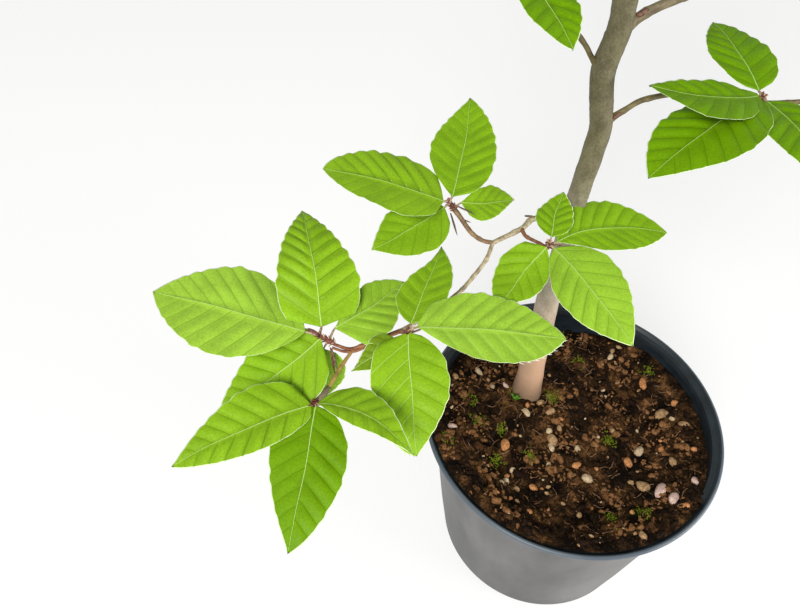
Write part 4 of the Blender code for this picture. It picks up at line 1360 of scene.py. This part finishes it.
@dataclass
class Soil:
    """The compost: an uneven closed body, with chips, crumbs, grit, fibres and moss on it."""

    pot: Pot
    trunk: Trunk
    height: float = 106 * MM
    bank: float = 7.5 * MM
    near_bank: float = 14.2 * MM
    near_rim: float = 71.2 * MM
    mound: tuple = (-25 * MM, 17 * MM, 2.2 * MM)
    cells: int = 190
    chips: int = 620
    crumbs: int = 2600
    grit: int = 170
    fibres: int = 200
    templates: int = 6
    stones: tuple = (
        Stone(41.2, -34.5, 3.6, Crumb.PINK), Stone(46.6, -38.4, 3.0, Crumb.PINK), Stone(-59.7, -1.8, 2.4, Crumb.PINK),
        Stone(45.6, 28.5, 3.2, Crumb.ORANGE), Stone(-8.5, -7.9, 2.8, Crumb.TAN), Stone(-9.6, -12.5, 2.3, Crumb.CREAM),
        Stone(-32.9, -11.5, 2.8, Crumb.ORANGE), Stone(28.2, -19.8, 2.8, Crumb.ORANGE), Stone(35.2, -13.0, 2.6, Crumb.CREAM),
        Stone(50.9, 9.0, 3.4, Crumb.TAN), Stone(-21.0, -34.7, 2.2, Crumb.ORANGE), Stone(33.2, -32.6, 3.4, Crumb.TAN),
        Stone(62.0, 3.0, 2.6, Crumb.TAN), Stone(6.0, -29.0, 2.6, Crumb.CREAM), Stone(30.7, 46.2, 2.0, Crumb.CREAM),
        Stone(-7.5, 9.0, 2.6, Crumb.TAN), Stone(-12.0, 14.5, 2.0, Crumb.TAN), Stone(-20.5, 8.0, 2.4, Crumb.CREAM),
        Stone(51.0, -19.0, 2.4, Crumb.TAN), Stone(-44.0, 33.5, 2.2, Crumb.CREAM), Stone(-57.0, 30.0, 2.0, Crumb.TAN),
        Stone(2.0, -22.0, 2.3, Crumb.ORANGE), Stone(59.5, -29.0, 2.2, Crumb.PINK), Stone(-30.0, -26.0, 1.8, Crumb.CREAM),
        Stone(28.0, -57.5, 2.2, Crumb.TAN), Stone(60.0, 16.5, 2.0, Crumb.ORANGE), Stone(7.5, 21.5, 2.2, Crumb.RUST),
        Stone(-29.8, 25.0, 1.8, Crumb.PINK),
    )
    tufts: tuple = (
        (-25.2, 19.0), (11.5, 42.1), (-49.7, 13.8), (-45.9, 2.8), (-20.7, -16.8), (15.1, -49.0), (20.4, -7.0),
        (31.5, -45.5), (-34.8, -2.8), (-38.0, -21.0), (-6.0, 17.0), (-62.0, -8.0), (50.0, 37.0), (-20.0, 55.0), (5.0, 60.0),
    )
    shoot: tuple = (-25.2, 16.2)

    def near(self, x: float, y: float) -> float:
        """1 in the pot's near half, where the compost lies over the shelf inside the lip, and 0 in the far one."""
        turn = math.degrees(math.atan2(-y, x + 12 * MM))
        return smooth_step(turn, 5, 40) * (1 - smooth_step(turn, 165, 185)) if turn > 0 else 0.0

    def edge(self, x: float, y: float) -> float:
        """The height that the soil is banked up to at the wall, in the direction of a place."""
        behind = math.exp(-(((math.degrees(math.atan2(y, x)) - 88) / 32) ** 2))
        return self.height + mix(self.bank * (1 - 1.3 * behind), self.near_bank, self.near(x, y))

    def rim(self, x: float, y: float) -> float:
        """The radius that the soil reaches in the direction of a place."""
        wall = self.pot.outside(self.edge(x, y)) - self.pot.wall - 0.25 * MM
        return mix(wall, self.near_rim, self.near(x, y))

    def rise(self, x: float, y: float) -> float:
        """The soil's height at a place."""
        spot = Vector((x, y, 0.0))
        made = mix(self.height, self.edge(x, y), smooth_step(spot.length, 42 * MM, 69 * MM))
        made += self.mound[2] * math.exp(-((spot - Vector((*self.mound[:2], 0.0))).length / (8 * MM)) ** 2)
        rough = 0.0014 * noise.noise(spot * 60) + 0.0019 * noise.noise(spot * 170)
        rough += 0.0012 * noise.noise(spot * 430) + 0.0005 * noise.noise(spot * 1100)
        return made + rough * (1 - 0.6 * smooth_step(spot.length, 60 * MM, 69 * MM))

    def seen(self, x: float, y: float) -> Vector:
        """The place on the soil that hides the spot at this x and y, in millimetres, from the camera."""
        spot = at_mm(x, y, 107)
        for _ in range(5):
            spot += (EYE - spot) * ((self.rise(spot.x, spot.y) - spot.z) / (EYE.z - spot.z))
        return spot

    def build(self) -> None:
        """Models the body and everything on it."""
        deselect()
        bpy.ops.mesh.primitive_grid_add(
            x_subdivisions=self.cells, y_subdivisions=self.cells, size=2, location=(0, 0, 0))
        made = bpy.context.object
        for vertex in made.data.vertices:
            x, y = vertex.co.x, vertex.co.y
            spot = Vector((x * math.sqrt(1 - y * y / 2), y * math.sqrt(1 - x * x / 2), 0))
            spot *= self.rim(spot.x, spot.y)
            vertex.co = Vector((spot.x, spot.y, self.rise(spot.x, spot.y)))
        bpy.ops.object.mode_set(mode="EDIT")
        bpy.ops.mesh.select_all(action="SELECT")
        bpy.ops.mesh.region_to_loop()
        for fall, share in ((1.6 * MM, 0.945), (self.height - self.pot.floor - 2.5 * MM, 0.77)):
            bpy.ops.mesh.extrude_region_move(TRANSFORM_OT_translate={"value": (0, 0, -fall)})
            bpy.ops.transform.resize(value=(share, share, 1), center_override=(0, 0, 0))
        bpy.ops.mesh.edge_face_add()
        bpy.ops.object.mode_set(mode="OBJECT")
        made.name = "soil_body"
        made.data.materials.append(SoilFinish().material())
        select(made)
        bpy.ops.object.shade_smooth_by_angle(angle=math.radians(70))
        settled(made, "soil", "soil")
        self.finishes = [crumb.material() for crumb in Crumb]
        self.lay_crumbs()
        self.lay_grit()
        self.lay_growth()

    def template(self, finer: bool, rule: random.Random) -> tuple:
        """A lump of unit size, rounded if finer and else angular, as its points and faces."""
        deselect()
        if finer:
            bpy.ops.mesh.primitive_ico_sphere_add(subdivisions=2, radius=1)
        else:
            bpy.ops.mesh.primitive_cube_add(size=1.5)
        made = bpy.context.object
        if not finer:
            bevel = made.modifiers.new("broken", "BEVEL")
            bevel.width, bevel.segments = rule.uniform(0.18, 0.4), 1
            applied(made)
        shift = Vector((rule.uniform(0, 50), rule.uniform(0, 50), 0))
        for vertex in made.data.vertices:
            vertex.co *= 1 + (0.35 if finer else 0.5) * noise.noise(vertex.co * 0.9 + shift)
        shape = bmesh.new()
        shape.from_mesh(made.data)
        bmesh.ops.triangulate(shape, faces=shape.faces)
        points = np.array([vertex.co for vertex in shape.verts])
        faces = np.array([[vertex.index for vertex in face.verts] for face in shape.faces])
        shape.free()
        bpy.data.objects.remove(made)
        return points, faces

    def spot(self, rule: random.Random, margin: float) -> Vector:
        """A random place on the soil, clear of the trunk."""
        foot = self.trunk.points()[0]
        while True:
            turn, way = rule.uniform(0, 2 * math.pi), math.sqrt(rule.random())
            x, y = (part * way * (self.rim(math.cos(turn), math.sin(turn)) - margin)
                    for part in (math.cos(turn), math.sin(turn)))
            if math.hypot(x - foot.x, y - foot.y) > 9.5 * MM:
                return Vector((x, y, self.rise(x, y)))

    def lay(self, heap: Heap, template: tuple, spot: Vector, sizes: tuple, kind: Crumb, rule: random.Random) -> None:
        """Lays one copy of a template on the soil, sunk a little into it.

        Args:
            heap: where the copy goes.
            template: the points and faces of the lump.
            spot: its place.
            sizes: its half length, width and height.
            kind: what it is made of.
            rule: the seeded source of its turn.
        """
        points, faces = template
        turn = Matrix.Rotation(rule.uniform(0, 6.28), 3, "Z") @ Matrix.Rotation(rule.uniform(-0.5, 0.5), 3, "X")
        placed = (points * sizes) @ np.array(turn).T + np.array(spot + Z_AXIS * sizes[2] * 0.35)
        heap.add(placed, faces, list(Crumb).index(kind))

    def lay_crumbs(self) -> None:
        """Strews bark chips and crumbs."""
        rule, heap = random.Random(f"{SEED} crumbs"), Heap()
        angular = [self.template(False, rule) for _ in range(self.templates)]
        kinds = (Crumb.BLACK, Crumb.BLACK, Crumb.BROWN, Crumb.BROWN, Crumb.BROWN, Crumb.RUST)
        for count, low, high in ((self.chips, 1.2, 3.0), (self.crumbs, 0.5, 1.2)):
            for _ in range(count):
                size = mix(low, high, rule.random() ** 1.8) * MM
                sizes = (size, size * rule.uniform(0.4, 0.8), size * rule.uniform(0.3, 0.6))
                spot = self.spot(rule, 1.2 * MM)
                tone = 0.45 + 2.5 * noise.noise(spot * 80) + rule.uniform(-0.3, 0.3)
                # Painted shade: crumbs between 60 and 70 mm out, next to the wall, are dealt darker kinds.
                tone -= 0.45 * smooth_step(math.hypot(spot.x, spot.y), 60 * MM, 70 * MM)
                kind = kinds[min(max(int(tone * len(kinds)), 0), len(kinds) - 1)]
                self.lay(heap, rule.choice(angular), spot, sizes, kind, rule)
        settled(heap.made("crumbs", self.finishes, False), "soil")

    def lay_grit(self) -> None:
        """Lays the larger stones and strews small grit round them."""
        rule, heap = random.Random(f"{SEED} grit"), Heap()
        rounded = [self.template(True, rule) for _ in range(self.templates)]
        for stone in self.stones:
            spot = self.seen(stone.x, stone.y)
            sizes = tuple(stone.size * MM * share for share in (1.2, rule.uniform(0.75, 0.95), 0.6))
            self.lay(heap, rule.choice(rounded), spot, sizes, stone.kind, rule)
        kinds = (Crumb.TAN, Crumb.TAN, Crumb.ORANGE, Crumb.CREAM, Crumb.RUST, Crumb.RUST)
        for _ in range(self.grit):
            size = mix(0.6, 2.0, rule.random() ** 1.6) * MM
            sizes = (size, size * rule.uniform(0.6, 0.9), size * 0.6)
            self.lay(heap, rule.choice(rounded), self.spot(rule, 2.6 * MM), sizes, rule.choice(kinds), rule)
        settled(heap.made("grit", self.finishes), "soil")

    def lay_growth(self) -> None:
        """Lays fine root fibres and sets the moss and the small shoot at the trunk's foot."""
        rule, heap = random.Random(f"{SEED} growth"), Heap()
        kinds = list(Crumb)
        for _ in range(self.fibres):
            spot, turn = self.spot(rule, 7 * MM), rule.uniform(0, 360)
            points = []
            for k in range(4):
                points.append(Vector((spot.x, spot.y, self.rise(spot.x, spot.y) + rule.uniform(0.4, 1.3) * MM)))
                turn += rule.uniform(-40, 40)
                spot = spot + direction(turn, 0) * rule.uniform(1.0, 2.6) * MM
            line = smooth_line(points, 1.2 * MM)
            heap.add(*tube(line, np.full(len(line), rule.uniform(0.10, 0.22) * MM), 4), kinds.index(Crumb.FIBRE))
        for x, y in self.tufts:
            middle = self.seen(x, y)
            for _ in range(rule.randint(40, 90)):
                way = direction(rule.uniform(0, 360), 0) * abs(rule.gauss(0, 2.3)) * MM
                spot = middle + way
                spot.z = self.rise(spot.x, spot.y)
                tip = spot + direction(rule.uniform(0, 360), rule.uniform(20, 80)) * rule.uniform(0.8, 1.8) * MM
                line = np.array([spot, spot.lerp(tip, 0.6), tip])
                heap.add(*tube(line, np.array([0.30, 0.38, 0.05]) * MM, 4), kinds.index(Crumb.MOSS))
        foot = self.seen(*self.shoot)
        for heading, rise, long, half in ((-80, 75, 6.5, 1.3), (-140, 60, 5.5, 1.1), (160, 50, 5.0, 1.0), (-20, 45, 4.0, 0.9)):
            tip = foot + direction(heading, rise) * long * MM
            line = smooth_line([foot, foot.lerp(tip, 0.5) + Z_AXIS * 0.8 * MM, tip], 0.8 * MM)
            share = np.linspace(0.0, 1.0, len(line))
            heap.add(*tube(line, half * MM * (0.35 + 1.6 * share) * (1 - share**1.6) + 0.03 * MM, 6),
                     kinds.index(Crumb.SHOOT))
        settled(heap.made("moss_and_fibres", self.finishes), "soil")


@dataclass
class Studio:
    """The floor, the light and the camera."""

    lens: float = 31.5
    right: tuple = (0.9996, 0.0211, 0.018)
    up: tuple = (-0.0278, 0.7598, 0.6496)
    back: tuple = (0.0, -0.6498, 0.7601)
    daylight: float = 0.46

    def camera(self) -> None:
        """The camera at the photograph's viewing angle."""
        data = bpy.data.cameras.new("camera")
        data.lens = self.lens
        data.sensor_width = 36.0
        data.clip_start = 0.01
        made = bpy.data.objects.new("camera", data)
        bpy.context.scene.collection.objects.link(made)
        turn = Matrix((self.right, self.up, self.back)).transposed().to_4x4()
        made.matrix_world = Matrix.Translation(EYE) @ turn
        bpy.context.scene.camera = made

    def floor(self) -> None:
        """A plain pale floor, lit a little from within so that it stays near white."""
        deselect()
        bpy.ops.mesh.primitive_plane_add(size=8, location=(0, 0, -0.0005))
        made = bpy.context.object
        made.name = "floor"
        made.data.materials.append(Dresser("floor").finish(
            Base_Color=(0.35, 0.35, 0.35), Roughness=0.9, Emission_Color=(1.0, 1.0, 1.0), Emission_Strength=0.60))
        applied(made)

    def light(self, name: str, place: tuple, size: float, power: float, colour: tuple) -> None:
        """One soft area light that faces the tree."""
        data = bpy.data.lights.new(name, "AREA")
        data.energy, data.size, data.color = power, size, colour
        made = bpy.data.objects.new(name, data)
        bpy.context.scene.collection.objects.link(made)
        made.location = place
        made.rotation_euler = (Vector((0, 0, 0.2)) - Vector(place)).to_track_quat("-Z", "Y").to_euler()

    def build(self) -> None:
        """Sets up the whole studio."""
        self.floor()
        self.camera()
        self.light("key", (-0.65, -1.5, 1.55), 0.9, 50, (1.0, 0.985, 0.95))
        self.light("fill", (1.4, -0.55, 0.22), 0.8, 26, (1.0, 0.96, 0.90))
        world = bpy.data.worlds.new("world")
        bpy.context.scene.world = world
        world.use_nodes = True
        world.node_tree.nodes["Background"].inputs["Color"].default_value = (0.98, 0.99, 1, 1)
        world.node_tree.nodes["Background"].inputs["Strength"].default_value = self.daylight
        bpy.context.scene.view_settings.view_transform = "Standard"


def corners(box: tuple) -> list:
    """A box as plain lists."""
    return [list(corner) for corner in box]


def main() -> None:
    """Builds every sub-assembly in order."""
    logging.basicConfig(level=logging.INFO, format="%(name)s: %(message)s")
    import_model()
    trunk = Trunk()
    skeleton = Skeleton(trunk)
    skeleton.grow()
    trunk.build(TrunkFinish().material(), [limb for limb in skeleton.limbs if limb.collar > 0.3])
    skeleton.build_wood()
    Hubs(skeleton).build()
    hairs, materials = Hairs(), LeafFinish().materials()
    for group, sprays in skeleton.sprays.items():
        Foliage(sprays, materials).build(f"leaves_{group}", hairs if group in ("left", "right", "upper") else None)
    hairs.build()
    pot = Pot()
    pot.build()
    Soil(pot, trunk).build()
    Studio().build()


if __name__ == "__main__":
    main()
